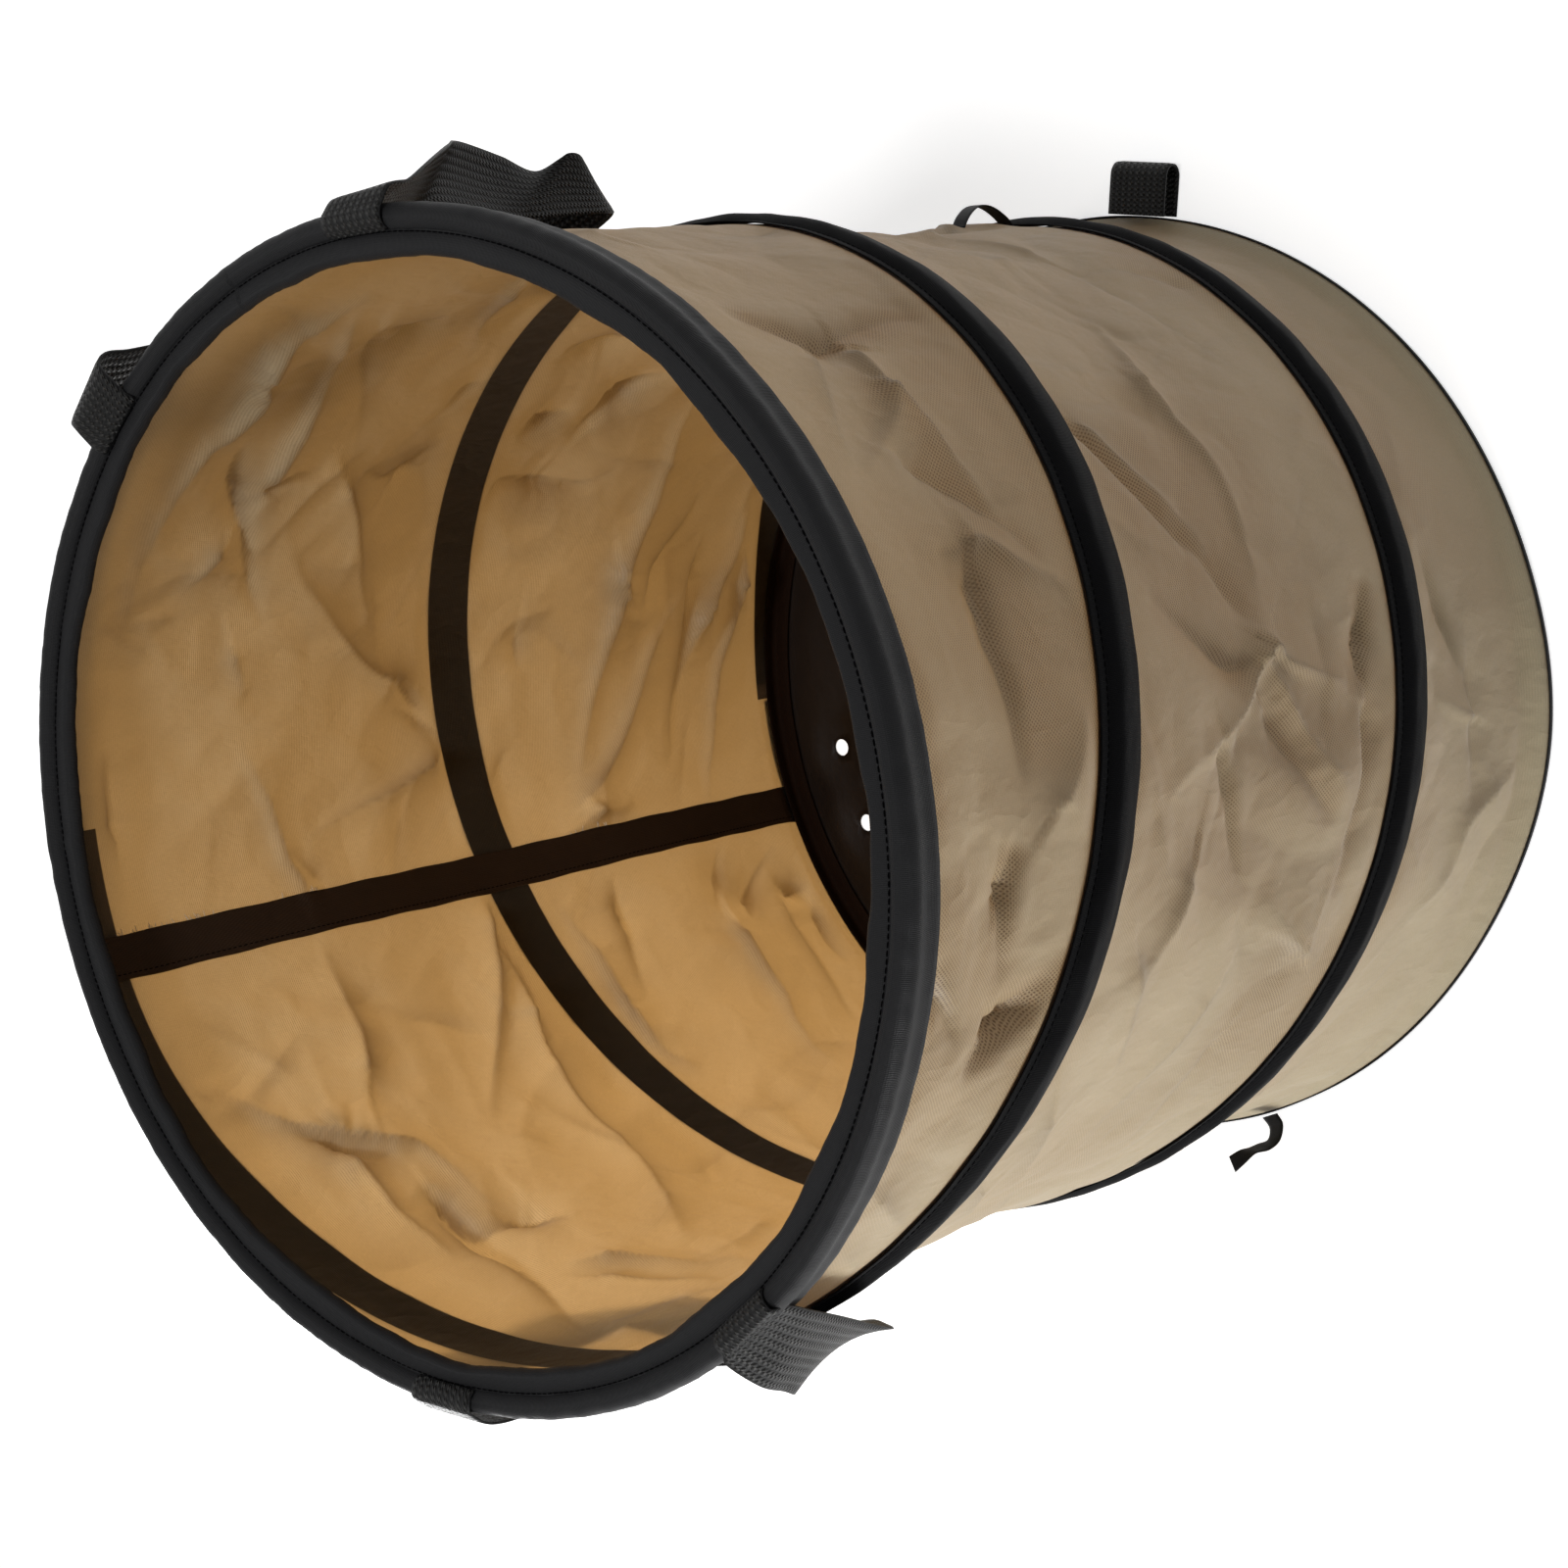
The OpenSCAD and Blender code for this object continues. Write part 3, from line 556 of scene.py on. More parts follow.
# Each fold: how far it stands out (or in) and how wide it is, in millimetres, the point where it is sharpest,
# and its line from there, as degrees and height over the cloth. A fold with more lines than one is a star.
FOLDS = [
    (-5, 9, (301, 474), [(304, 510), (305, 530)], [(303, 440), (303, 412), (301, 395)]),
    (4, 8, (299.5, 466), [(293, 472), (288.5, 487), (283, 528)]),
    (3, 7, (298, 500), [(292, 518), (283, 537)]),
    (-5, 8, (283.5, 493), [(279.5, 470), (275.5, 452), (271, 440)]),
    (3.5, 6, (293, 474), [(284, 462), (275.5, 451)]),
    (4.5, 9, (274.5, 490), [(274.5, 478), (271.5, 458), (268, 420)]),
    (-6, 8, (272, 487), [(264.5, 492), (259, 492), (251, 493)]),
    (-7, 8, (287, 366), [(283.5, 355), (279, 344), (274, 328), (269.5, 303), (263.5, 287), (261, 268)]),
    (4, 8, (286, 352), [(280, 334), (275, 316), (270, 296)]),
    (3, 7, (290.5, 272), [(281, 262), (271, 264), (262, 270)], [(297, 258), (303, 250)]),
    (5, 6, (259.5, 275), [(257, 255), (253.7, 203)]),
    (6, 9, (259.5, 275), [(256, 292), (253.6, 303), (250.4, 336), (248.7, 365), (245.5, 390)]),
    (-5, 9, (258, 290), [(258, 306), (261.3, 331), (267, 371)]),
    (-4, 6, (250, 324), [(245, 317), (238, 309), (233.5, 297)]),
    (-4.5, 9, (252, 277), [(245, 251), (239, 222)]),
    (3.5, 7, (257, 272), [(249, 243), (242, 212)]),
    (-4, 8, (258, 182), [(265, 172)], [(252, 195)]),
    (-5, 8, (250.5, 190), [(244.5, 193), (240, 200), (234.5, 208), (230, 220)]),
    (-2.5, 7, (292, 105), [(288, 82)]),
    (-2.5, 7, (259, 88), [(263, 96), (268, 104)], [(253, 78), (251, 62)]),
    (-3, 7, (251.5, 70), [(241, 68), (235.5, 66)]),
    (4, 7, (246.6, 71), [(248, 90), (249.5, 112)]),
    (3, 10, (238, 40), [(234, 72), (229, 78), (224, 95), (219, 108)]),
    (3.5, 11, (249, 473), [(252, 460), (257.5, 445)]),
    (-4, 7, (242, 507), [(247, 499)], [(237, 506), (232.5, 499)]),
    (-7, 8, (227.8, 492), [(230, 470), (234, 452)], [(225.6, 505), (224, 518)]),
    (-4, 6, (234, 553), [(238, 556)], [(231.5, 540), (227, 528)]),
    (4, 12, (238, 356), [(231, 372), (226, 390)]),
    (4, 14, (226, 240), [(233, 282)], [(223, 205)]),
    (3, 12, (212, 545), [(207, 515), (203, 490)]),
    (3, 14, (213, 415), [(206, 400), (200, 385)]),
    (3, 12, (222, 300), [(212, 320), (204, 345)]),
    (2.5, 12, (205, 440), [(199, 420), (196, 400)]),
    (3, 10, (230, 390), [(222, 375), (214, 360)]),
    (-2.5, 10, (213, 260), [(205, 270), (197, 280)]),
    (2.5, 9, (210, 170), [(204, 150), (199, 128)]),
    (-6, 9, (33.5, 481), [(24.5, 475), (15, 480), (10, 487), (5, 497), (1, 500)]),
    (4, 6, (33.5, 481), [(31.5, 462), (31, 443)]),
    (6, 8, (34, 494), [(36, 490), (39, 483), (43, 477), (47.5, 468), (52, 457)]),
    (5, 7, (34, 494), [(30.5, 502), (26.5, 506)]),
    (-6, 10, (16, 523), [(10.5, 522), (6, 510), (0, 502)], [(20, 515), (25, 521), (27, 530), (32, 537),
     (37, 543), (44, 548), (49, 550), (55, 555)]),
    (-5, 8, (33, 424), [(38, 408), (43, 398), (48, 388), (55, 375)]),
    (-5, 9, (61, 348), [(59, 372), (55, 396), (50, 418), (46, 437), (41, 454)]),
    (4, 7, (61, 348), [(64, 335), (66, 320)]),
    (-4, 8, (41, 499), [(43.5, 507), (47, 518)]),
    (3, 9, (10, 466), [(15, 456), (20, 440), (25.5, 428), (31, 424)]),
    (4, 7, (9, 440), [(8.5, 455), (8, 468)], [(7, 425)]),
    (-4, 8, (0, 403), [(6, 392), (11, 385), (15, 370)]),
    (4, 7, (20, 340), [(22, 355), (24, 366)]),
    (4, 9, (33.5, 372), [(34, 390), (32, 411)], [(31, 362), (30, 350)]),
    (-3, 9, (54.5, 478), [(57, 474), (60, 470)]),
    (5, 9, (14, 272), [(12, 250)], [(15.5, 300)]),
    (4, 7, (28, 272), [(30, 290)], [(26.5, 253)]),
    (6, 10, (24.5, 222), [(28, 240), (30.5, 249)], [(21, 210), (19.5, 195)]),
    (5, 12, (37.5, 252), [(37, 285), (40, 298)], [(37.5, 225), (36, 208), (34, 200)]),
    (-7, 9, (51, 178), [(49.5, 180), (46, 170), (40.5, 160), (34.5, 160), (28.5, 162),
     (23.5, 160)], [(54.5, 176), (60, 182), (65, 190), (69, 195), (73.5, 200), (80, 207)]),
    (3.5, 6, (50.5, 137), [(46.5, 122), (43, 112), (39.5, 110)], [(53, 143), (55, 150)]),
    (-6, 8, (80, 206), [(76, 182), (72, 167), (66, 150), (62, 140), (58, 125), (55, 111), (52, 98)]),
    (5, 7, (51.5, 95), [(55, 97), (60, 99), (66, 107), (72, 115), (76, 120), (79, 128)]),
    (-6, 8, (57.5, 85), [(53.5, 72), (49.5, 58), (45, 52), (42, 50)], [(63.5, 100), (69, 110)]),
    (-5, 7, (54.5, 49), [(49, 48)], [(59, 53), (65, 64), (70, 72), (74, 75), (81, 88), (89, 97)]),
    (3, 8, (58, 250), [(62, 250)]),
    (-5, 6, (82.5, 199), [(81, 207)], [(85, 228)], [(83, 180), (82, 165)]),
    (4, 7, (70, 308), [(68.5, 317), (66, 335), (64, 355)]),
    (-6, 7, (70, 312), [(71.5, 322), (73, 342), (74.5, 366), (75.5, 389), (77, 414), (79, 434)]),
    (-5, 8, (85, 443), [(83, 443), (80, 449), (77.5, 450), (73.5, 455), (70, 462), (67, 469), (64.5, 470)]),
    (3, 8, (83, 430), [(79, 445)]),
    (4, 7, (73, 554), [(68, 553), (64, 553)]),
    (-5, 12, (108, 454), [(104, 446), (100, 443), (95.5, 442), (90.5, 443)]),
    (-6, 8, (91, 306), [(94.5, 313), (100, 325), (105, 340), (110, 358), (119, 397)]),
    (4, 7, (95, 305), [(101.5, 300), (106, 304), (111, 308)]),
    (-5, 9, (115, 489), [(111.5, 512), (108, 528), (103, 546)], [(118, 466), (119, 455), (124, 446),
     (128, 445), (131, 437)]),
    (5, 7, (116, 496), [(113, 507), (110, 520)], [(118.5, 480), (118.5, 467)]),
    (-5, 8, (117.5, 497), [(121.5, 495), (126.5, 496), (131, 490), (136, 490)]),
    (5, 9, (128, 463), [(124, 470)], [(132, 460), (133, 448), (134, 435), (136.5, 425)]),
    (3, 8, (95, 108), [(90, 95)], [(99, 125)]),
    (4, 6, (98.5, 87), [(95, 63), (92, 37)], [(102, 100)]),
    (4, 6, (99, 38), [(97, 56)], [(99, 22)]),
    (-6, 8, (102.5, 120), [(107.5, 122), (114, 120), (119, 130), (124, 132), (127.5, 128)]),
    (4, 6, (103, 30), [(107, 35), (112, 35)]),
    (3, 8, (102, 55), [(107, 55), (112.5, 60), (117.5, 68), (122, 75)]),
    (-4, 10, (109, 240), [(101, 240), (93, 250)], [(116.5, 235), (120, 215)]),
    (3, 8, (96, 205), [(91, 203)], [(102.5, 212), (108.5, 220)]),
    (-6, 9, (107, 317), [(114, 325), (121.5, 328), (131, 332), (138, 345), (150, 385)], [(102, 310),
     (96.5, 305)]),
    (4, 8, (134, 430), [(132, 448)], [(137, 412)]),
    (5, 10, (134.5, 467), [(132, 468), (127, 470)], [(141, 468), (147, 475), (155, 490)]),
    (-3, 6, (147, 430), [(144, 450)], [(151, 413), (155, 400), (157, 380)]),
    (-3, 6, (149, 445), [(154, 430), (160, 410)]),
]
# Where the weave is pulled open and its dark pores show: how much, how wide in millimetres, and the line.
OPEN_WEAVE = [
    (1.0, 11, [(305, 530), (304, 510), (301, 474), (303, 412), (301, 395)]),
    (0.9, 15, [(298, 476), (286, 470), (272, 470), (260, 475), (250, 480)]),
    (0.8, 12, [(290, 570), (276, 566), (262, 562), (246, 560)]),
    (0.7, 10, [(284, 493), (279, 470), (271, 440)]),
    (1.0, 10, [(287, 366), (279, 344), (269.5, 303), (261, 270)]),
    (0.9, 12, [(258, 290), (258, 306), (261.3, 331), (267, 371)]),
    (0.9, 10, [(265, 172), (258, 182), (252, 195)]),
    (0.8, 10, [(250.5, 190), (240, 200), (230, 220)]),
    (0.8, 12, [(252, 277), (245, 251), (239, 222)]),
    (1.0, 9, [(247, 499), (242, 507), (237, 506), (232.5, 499)]),
    (1.0, 9, [(234, 452), (227.8, 492), (224, 518)]),
    (0.9, 10, [(238, 556), (234, 553), (231.5, 540)]),
    (0.55, 24, [(245, 560), (238, 535), (232, 500), (228, 470)]),
    (0.5, 26, [(300, 440), (288, 430), (274, 420), (262, 420), (250, 430)]),
    (0.4, 20, [(246, 360), (240, 330), (236, 300), (232, 270)]),
    (0.35, 24, [(284, 240), (270, 230), (262, 210)]),
    (0.3, 22, [(290, 120), (270, 110), (255, 95)]),
]


def held_lines(degrees):
    """Heights at which the base, the two turns of the spring and the mouth hold the cloth, per direction."""
    turned = (COIL_FROM - degrees) % 360
    return [np.zeros_like(turned), coil_height(turned), coil_height(np.minimum(turned + 360, COIL_TURNED)),
            np.full_like(turned, BAG_HEIGHT)]


def base_bulge(degrees):
    """The hem stands out a little on the side where the spring's end pushes it."""
    away = turn_from(np.asarray(degrees, float), BULGE_ANGLE)
    return BULGE * np.exp(-(away / BULGE_SPREAD) ** 2)


def spring_near(degrees, z):
    """0 where the spring's casing crosses the hem, 1 away from it."""
    spring = coil_height((COIL_FROM - np.asarray(degrees, float)) % 360)
    return ease((spring - SPRING_HEM[0] - z) / SPRING_HEM[1])


def wall_form(degrees, z):
    """Radius of the smooth cloth, and how free it is to crease, from 0 to 1."""
    degrees, z = grids(degrees, z)
    radius = np.full(z.shape, WALL_RADIUS)
    free = np.ones(z.shape)
    lines = held_lines(degrees)
    for low, high in zip(lines, lines[1:]):
        span = np.maximum(high - low, 1e-6)
        share = np.clip((z - low) / span, 0, 1)
        draw = WALL_DRAW_IN * np.minimum(span / FULL_SPAN, 1) * np.sin(math.pi * share) ** 2
        radius = radius - draw
    for line in lines[1:3]:
        free = free * ease((np.abs(z - line) - SPRING_CALM[0]) / SPRING_CALM[1])
    free = free * ease((z - BASE_CALM[0]) / BASE_CALM[1])
    free = free * ease((WALL_TOP - z - MOUTH_CALM[0]) / MOUTH_CALM[1])
    beside = turn_from(degrees, SEAM_ANGLE) * math.radians(1) * WALL_RADIUS
    free = free * (1 - SEAM_CALM_SHARE * np.exp(-(beside / SEAM_CALM) ** 2))
    flare = (1 - ease((z - 3 * MM) / FLARE_HEIGHT)) * spring_near(degrees, z)
    radius = radius + flare * (SKIRT_RADIUS - FLARE_GAP + base_bulge(degrees) - WALL_RADIUS)
    hem = np.clip(1 - (WALL_TOP - z) / HEM_HEIGHT, 0, 1)
    return radius - (WALL_RADIUS - GROOVE_RADIUS) * hem, free


def smooth_path(points, count):
    """Points spread evenly along a smooth curve through the given ones."""
    points = np.asarray(points, float)
    chord = distances(points, 0.5)
    tangent = np.zeros_like(points)
    tangent[1:-1] = (points[2:] - points[:-2]) / (chord[2:] - chord[:-2])[:, None]
    tangent[0] = (points[1] - points[0]) / (chord[1] - chord[0])
    tangent[-1] = (points[-1] - points[-2]) / (chord[-1] - chord[-2])
    fine = np.linspace(0, chord[-1], count * 8)
    k = np.clip(np.searchsorted(chord, fine, side="right") - 1, 0, len(chord) - 2)
    h = (chord[k + 1] - chord[k])[:, None]
    u = ((fine - chord[k])[:, None]) / h
    curve = ((1 + 2 * u) * (1 - u) ** 2 * points[k] + u * (1 - u) ** 2 * h * tangent[k]
             + u ** 2 * (3 - 2 * u) * points[k + 1] + u ** 2 * (u - 1) * h * tangent[k + 1])
    run = distances(curve[:, :3])
    even = np.linspace(0, run[-1], count)
    return np.stack([np.interp(even, run, curve[:, i]) for i in range(curve.shape[1])], axis=1), even


def near_line(degrees, z, line, reach):
    """Where a line comes within reach: which points, how far off and on which side, and how far along."""
    line = np.asarray(line, float)
    per_degree = math.radians(1) * WALL_RADIUS
    path, run = smooth_path(np.column_stack([(line[:, 0] - line[0, 0]) * per_degree, line[:, 1] * MM]),
                            4 * len(line))
    across = turn_from(degrees, line[0, 0]) * per_degree
    low, high = path.min(axis=0) - reach, path.max(axis=0) + reach
    near = (across > low[0]) & (across < high[0]) & (z > low[1]) & (z < high[1])
    place = np.column_stack([across[near], z[near]])
    best = np.full(len(place), np.inf)
    side, share = np.zeros(len(place)), np.zeros(len(place))
    for k in range(len(path) - 1):
        step = path[k + 1] - path[k]
        length = np.linalg.norm(step)
        offset = place - path[k]
        u = np.clip(offset @ step / length ** 2, 0, 1)
        gap = offset - u[:, None] * step
        far = np.linalg.norm(gap, axis=1)
        closer = far < best
        best[closer] = far[closer]
        side[closer] = np.sign(step[0] * gap[closer, 1] - step[1] * gap[closer, 0])
        share[closer] = (run[k] + u[closer] * length) / run[-1]
    return near, best, side, share


def star_folds():
    """The named folds, one line each."""
    return [(lift, width, [point, *line]) for lift, width, point, *lines in FOLDS for line in lines]


def chance_folds():
    """More folds, short and shallow, spread over the whole cloth the same way on every run."""
    draw = np.random.RandomState(12)
    folds = []
    while len(folds) < CHANCE_FOLDS:
        angle, height = draw.uniform(0, 360), draw.uniform(*CHANCE_HEIGHT)
        lean = draw.normal(0, CHANCE_LEAN)
        length = draw.uniform(*CHANCE_LENGTH)
        lift = draw.choice([-1, 1]) * draw.uniform(*CHANCE_LIFT)
        width = draw.uniform(*CHANCE_WIDTH)
        bend = draw.normal(0, CHANCE_BEND) * length
        shown = SHOWN_OUTSIDE[0] < angle < SHOWN_OUTSIDE[1] or angle < SHOWN_INSIDE
        low = 0.45 if shown else 1
        if SHOWN_INSIDE < angle < CALM_SIDE:
            lift, width = lift * 0.6, width * 1.6
        line = []
        for s in (0, 0.35, 0.7, 1):
            up = length * s * math.cos(math.radians(lean))
            over = length * s * math.sin(math.radians(lean)) + bend * math.sin(math.pi * s)
            line.append((angle + math.degrees(over * MM / WALL_RADIUS), height + up))
        folds.append((lift * low, width, line))
    return folds


def creases(degrees, z):
    """How far the crumpled cloth stands in or out of its smooth form, and the painted shade along its folds.
    """
    degrees, z = grids(degrees, z)
    around = polar(1, degrees, 0)[..., :2] * WALL_RADIUS
    place = np.stack([around[..., 0], around[..., 1], z], axis=-1)
    warp = noise3(place * 9, 3) * 0.5
    skew = np.stack([place[..., 0] * 13, place[..., 1] * 13, place[..., 2] * 8 + warp], axis=-1)
    broad = noise3(place * 6, 11)
    ridges = np.abs(noise3(skew, 5)) - 0.25
    small = np.abs(noise3(place * 24 + 7, 8)) - 0.25
    relief = BROAD_RELIEF * broad + RIDGE_RELIEF * ridges * (0.6 + broad) + SMALL_RELIEF * small
    unshaded = np.ones(relief.size)
    flat_relief, flat_degrees, flat_z = relief.reshape(-1), degrees.reshape(-1), z.reshape(-1)
    for index, (lift, width, line) in enumerate(star_folds() + chance_folds()):
        near, far, side, share = near_line(flat_degrees, flat_z, line, FOLD_REACH * width * MM)
        steep_side = side * (1 if index % 2 else -1) > 0
        steep = width * MM * np.where(steep_side, STEEP_SIDE, SLACK_SIDE)
        fade = (ease(share / 0.07) * 0.35 + 0.65) * np.clip(1 - share, 0, 1) ** 0.75
        ends = np.exp(-(np.maximum(np.sqrt(far ** 2 + CREASE_EDGE ** 2) - CREASE_EDGE, 0)) / steep)
        flat_relief[near] += FOLD_GAIN * lift * MM * fade * ends
        # Painted shade: it spreads over each fold's steep side and is a thin line on its slack side.
        doubled = np.where(steep_side, np.exp(-far / (FOLD_SHADE_SHARE * width * MM)),
                           np.exp(-(far / FOLD_SHADE_EDGE) ** 2))
        unshaded[near] *= 1 - min(abs(lift) / FULL_LIFT, 1) * fade * doubled
    return flat_relief.reshape(z.shape), 1 - unshaded.reshape(z.shape)


def open_weave(degrees, z):
    """How open the weave is, from 0 to 1; its patches open further towards the bag's shaded side, which is
    painted shade.
    """
    degrees, z = grids(degrees, z)
    flat_degrees, flat_z = degrees.reshape(-1), z.reshape(-1)
    place = polar(WALL_RADIUS, flat_degrees, flat_z)
    shut = np.ones(flat_z.shape)
    for strength, width, line in OPEN_WEAVE:
        near, far, _, share = near_line(flat_degrees, flat_z, line, 2.5 * width * MM)
        ends = ease(share / 0.12) * ease((1 - share) / 0.12)
        shut[near] *= 1 - strength * np.exp(-(far / (width * MM)) ** 2) * ends
    patchy = np.clip(noise3(place * 9, 71) * 1.2 + 0.38, 0, 1) * ease((flat_z - 0.02) / 0.1)
    # Painted shade: the open patches, with their pores and browner tone, grow towards the bag's shaded side.
    shaded = ease(0.6 + 0.6 * np.cos(np.radians(flat_degrees - SHADED_ANGLE)))
    return (1 - shut * (1 - 0.9 * patchy * shaded)).reshape(z.shape)


def wall_radius(degrees, z):
    radius, free = wall_form(degrees, z)
    return radius + free * creases(degrees, z)[0]


def make_wall():
    """One piece of cloth that goes round once: its two ends meet under the seam tape."""
    degrees = SEAM_ANGLE + np.linspace(0, 360, WALL_COLUMNS + 1)
    heights = np.linspace(WALL_BOTTOM, WALL_TOP, WALL_ROWS + 1)
    around, up = np.meshgrid(degrees, heights, indexing="ij")
    radius, free = wall_form(around, up)
    # creases() also gives the painted shade along the folds.
    relief, doubled = creases(around, up)
    points = polar(radius + free * relief, around, up)
    cloth = np.stack([np.radians(around) * WALL_RADIUS / MM, up / MM, open_weave(around, up)], axis=-1)
    # Painted shadow: how far each point lies inside the band of the spring's casing behind the cloth, in
    # millimetres.
    inside = [np.minimum(up - line - CASING_FOOT, line + CASING_TOP - up) for line in held_lines(around)[1:3]]
    wall = new_object("wall", points, grid_faces(*around.shape), cloth, doubled=doubled * (0.4 + 0.6 * free),
                      taped=np.max(inside, axis=0) / MM)
    wall.data.flip_normals()
    dress(wall, "wall", "wall_cloth", "wall_cloth")
    sink(wall)
    return wall


# ---- Seam tape, inside ----

SEAM_TAPE_WIDTH = 24 * MM
SEAM_TAPE_GAP = 0.9 * MM
SEAM_TAPE_WAVE = 0.25 * MM
SEAM_STITCH_INSET = 3.2 * MM
# Loose threads beside the tape: from which height to which, and how many.
SEAM_FRAYS = [(0.50, 0.575, 22), (0.43, 0.46, 7), (0.195, 0.232, 9)]


def make_seam_tape():
    heights = np.linspace(WALL_BOTTOM + 1 * MM, WALL_TOP - 1 * MM, 260)[:, None]
    across = np.linspace(-SEAM_TAPE_WIDTH / 2, SEAM_TAPE_WIDTH / 2, 13)[None, :]
    edge = SEAM_TAPE_WAVE * np.sin(heights * 130) * np.sin(across / SEAM_TAPE_WIDTH * 3)
    turned = SEAM_ANGLE + np.degrees((across + edge) / WALL_RADIUS)
    inner = wall_radius(turned, heights) - SEAM_TAPE_GAP
    near, far = polar(inner, turned, heights), polar(inner - TAPE_THICKNESS, turned, heights)
    flat = np.stack(grids(heights / MM, across / MM), axis=-1)
    tape = swept("side_seam_tape", np.concatenate([near, far[:, ::-1]], axis=1),
                 np.concatenate([flat, flat[:, ::-1]], axis=1))
    dress(tape, "seam", "binding", "seam_tape")
    sink(tape)

    begin = np.arange(12, BAG_HEIGHT / MM - 12, STITCH_PITCH / MM) * MM

    def on_tape(z):
        turned = SEAM_ANGLE + math.degrees((SEAM_TAPE_WIDTH / 2 - SEAM_STITCH_INSET) / WALL_RADIUS)
        return polar(wall_radius(turned, z) - SEAM_TAPE_GAP - TAPE_THICKNESS + 0.15 * MM, turned, z)

    inward = -polar(1, SEAM_ANGLE, 0)
    sink(sew("side_seam_stitches", on_tape, begin, STITCH_PITCH, np.tile(inward, (len(begin), 1))))

    draw = np.random.RandomState(5)
    low = np.sort(np.concatenate([draw.uniform(*band) for band in SEAM_FRAYS]))
    high = low + draw.uniform(-1.5, 1.5, len(low)) * MM
    edge_angle = SEAM_ANGLE - np.degrees((SEAM_TAPE_WIDTH / 2 - 0.8 * MM) / WALL_RADIUS)
    out = np.degrees(draw.uniform(1.5, 4.5, len(low)) * MM / WALL_RADIUS)
    root = polar(wall_radius(np.full_like(low, edge_angle), low) - 1.3 * MM, edge_angle, low)
    tip = polar(wall_radius(edge_angle - out, high) - 0.5 * MM, edge_angle - out, high)
    frays = stitches("side_seam_frays", root, tip, np.tile(inward, (len(low), 1)), 0.22 * MM)
    dress(frays, "pale_thread", "binding")
    sink(frays)


# ---- Spring wire and its casing ----

def make_wire():
    turned = np.linspace(0, COIL_TURNED, 480)
    centre = polar(coil_radius(turned), COIL_FROM - turned, coil_height(turned))
    outward = polar(1, COIL_FROM - turned, 0)
    up = np.cross(unit(np.gradient(centre, axis=0)), outward)
    rings = ring(centre, WIRE_DIAMETER / 2, outward, up, 10)
    wire = swept("coil_wire", rings, np.zeros((*rings.shape[:2], 2)))
    dress(wire, "wire", "spring_wire", "spring_coil")
    sink(wire)


CASING_BULGE = 3.7 * MM
CASING_FLOOR = 0.7 * MM
CASING_CUT_GAP = 0.3 * MM


def casing_section():
    """[height over the wire, distance from the cloth], from the mouth side to the base side."""
    flange = [[CASING_TOP - CASING_FLANGE * k / 5, CASING_FLOOR] for k in range(6)]
    flange[4][1] -= 0.15 * MM
    flange[5][1] -= 0.35 * MM
    upper = [[CASING_SEAM * (1 - k / 7), CASING_FLOOR + CASING_BULGE * math.sin(math.pi / 2 * k / 7)]
             for k in range(1, 8)]
    lower = [[CASING_FOOT * k / 12, CASING_FLOOR + CASING_BULGE * math.cos(math.pi / 2 * k / 12)]
             for k in range(1, 13)]
    return flange + upper + lower


def make_casing():
    turned = np.arange(2, COIL_TURNED - 1, 1.0)
    outline, across = tape_ring(casing_section(), TAPE_THICKNESS)
    middle = polar(1, COIL_FROM - turned, coil_height(turned))
    ripple = noise3(middle[:, None, :] * 14 + outline[None, :, :1] * 60, 21) * 0.6 * MM
    bulging = np.clip(outline[:, 1] / CASING_BULGE, 0, 1)
    edge = noise3(middle * 11, 4)[:, None] * 1.0 * MM
    radius = (WALL_OUTER + coil_radius(turned) - COIL_RADIUS)[:, None] + outline[:, 1] + ripple * bulging
    rings = polar(radius, (COIL_FROM - turned)[:, None], coil_height(turned)[:, None] + outline[:, 0] + edge)
    casing = wound("spring_casing", rings, turned, COIL_RADIUS, across, closed=False)
    cut_flat(casing, BASE_TRIM_TOP + CASING_CUT_GAP, keep_above=True)
    cut_flat(casing, SKIRT_BOTTOM - CASING_CUT_GAP, keep_above=False)
    dress(casing, "casing", "binding", "coil_casing")
    sink(casing)

    pitch = math.degrees(STITCH_PITCH / COIL_RADIUS)
    begin = np.arange(22, COIL_TURNED - 22, pitch)

    def on_flange(t):
        return polar(WALL_OUTER + CASING_FLOOR + TAPE_THICKNESS / 2 - 0.25 * MM, COIL_FROM - t,
                     coil_height(t) + CASING_SEAM + 0.9 * MM)

    sink(sew("casing_stitches", on_flange, begin, pitch, polar(1, COIL_FROM - begin, 0)))


# ---- Mouth binding ----

LIP_WIDTH = 11.5 * MM
LIP_RADIUS = GROOVE_RADIUS - LIP_WIDTH
TUBE_CENTRE = (RIM_RADIUS - 6.2 * MM, BAG_HEIGHT - 7.4 * MM)
TUBE_SIZE = (5.8 * MM, 7.0 * MM)
SKIRT_PINCH = 17 * MM


def arc(centre, size, start, stop, steps):
    return [[centre[0] + size[0] * math.cos(a), centre[1] + size[1] * math.sin(a)]
            for a in np.radians(np.linspace(start, stop, steps + 1))]


def rim_section():
    """Lip, stitched groove, tube round the hoop, and the skirt outside."""
    return (arc((LIP_RADIUS + 3.5 * MM, GROOVE_Z - 2.5 * MM), (3.5 * MM, 4.2 * MM), 190, 90, 8)
            + [[LIP_RADIUS + 6 * MM, GROOVE_Z + 1.5 * MM], [GROOVE_RADIUS - 2.4 * MM, GROOVE_Z + 1.1 * MM],
               [GROOVE_RADIUS - 1 * MM, GROOVE_Z + 0.3 * MM], [GROOVE_RADIUS, GROOVE_Z]]
            + arc(TUBE_CENTRE, TUBE_SIZE, 155, -25, 26)
            + [[SKIRT_RADIUS + 0.4 * MM, BAG_HEIGHT - 14 * MM], [SKIRT_RADIUS, BAG_HEIGHT - SKIRT_PINCH],
               [SKIRT_RADIUS, SKIRT_BOTTOM + 3 * MM], [SKIRT_RADIUS, SKIRT_BOTTOM]])


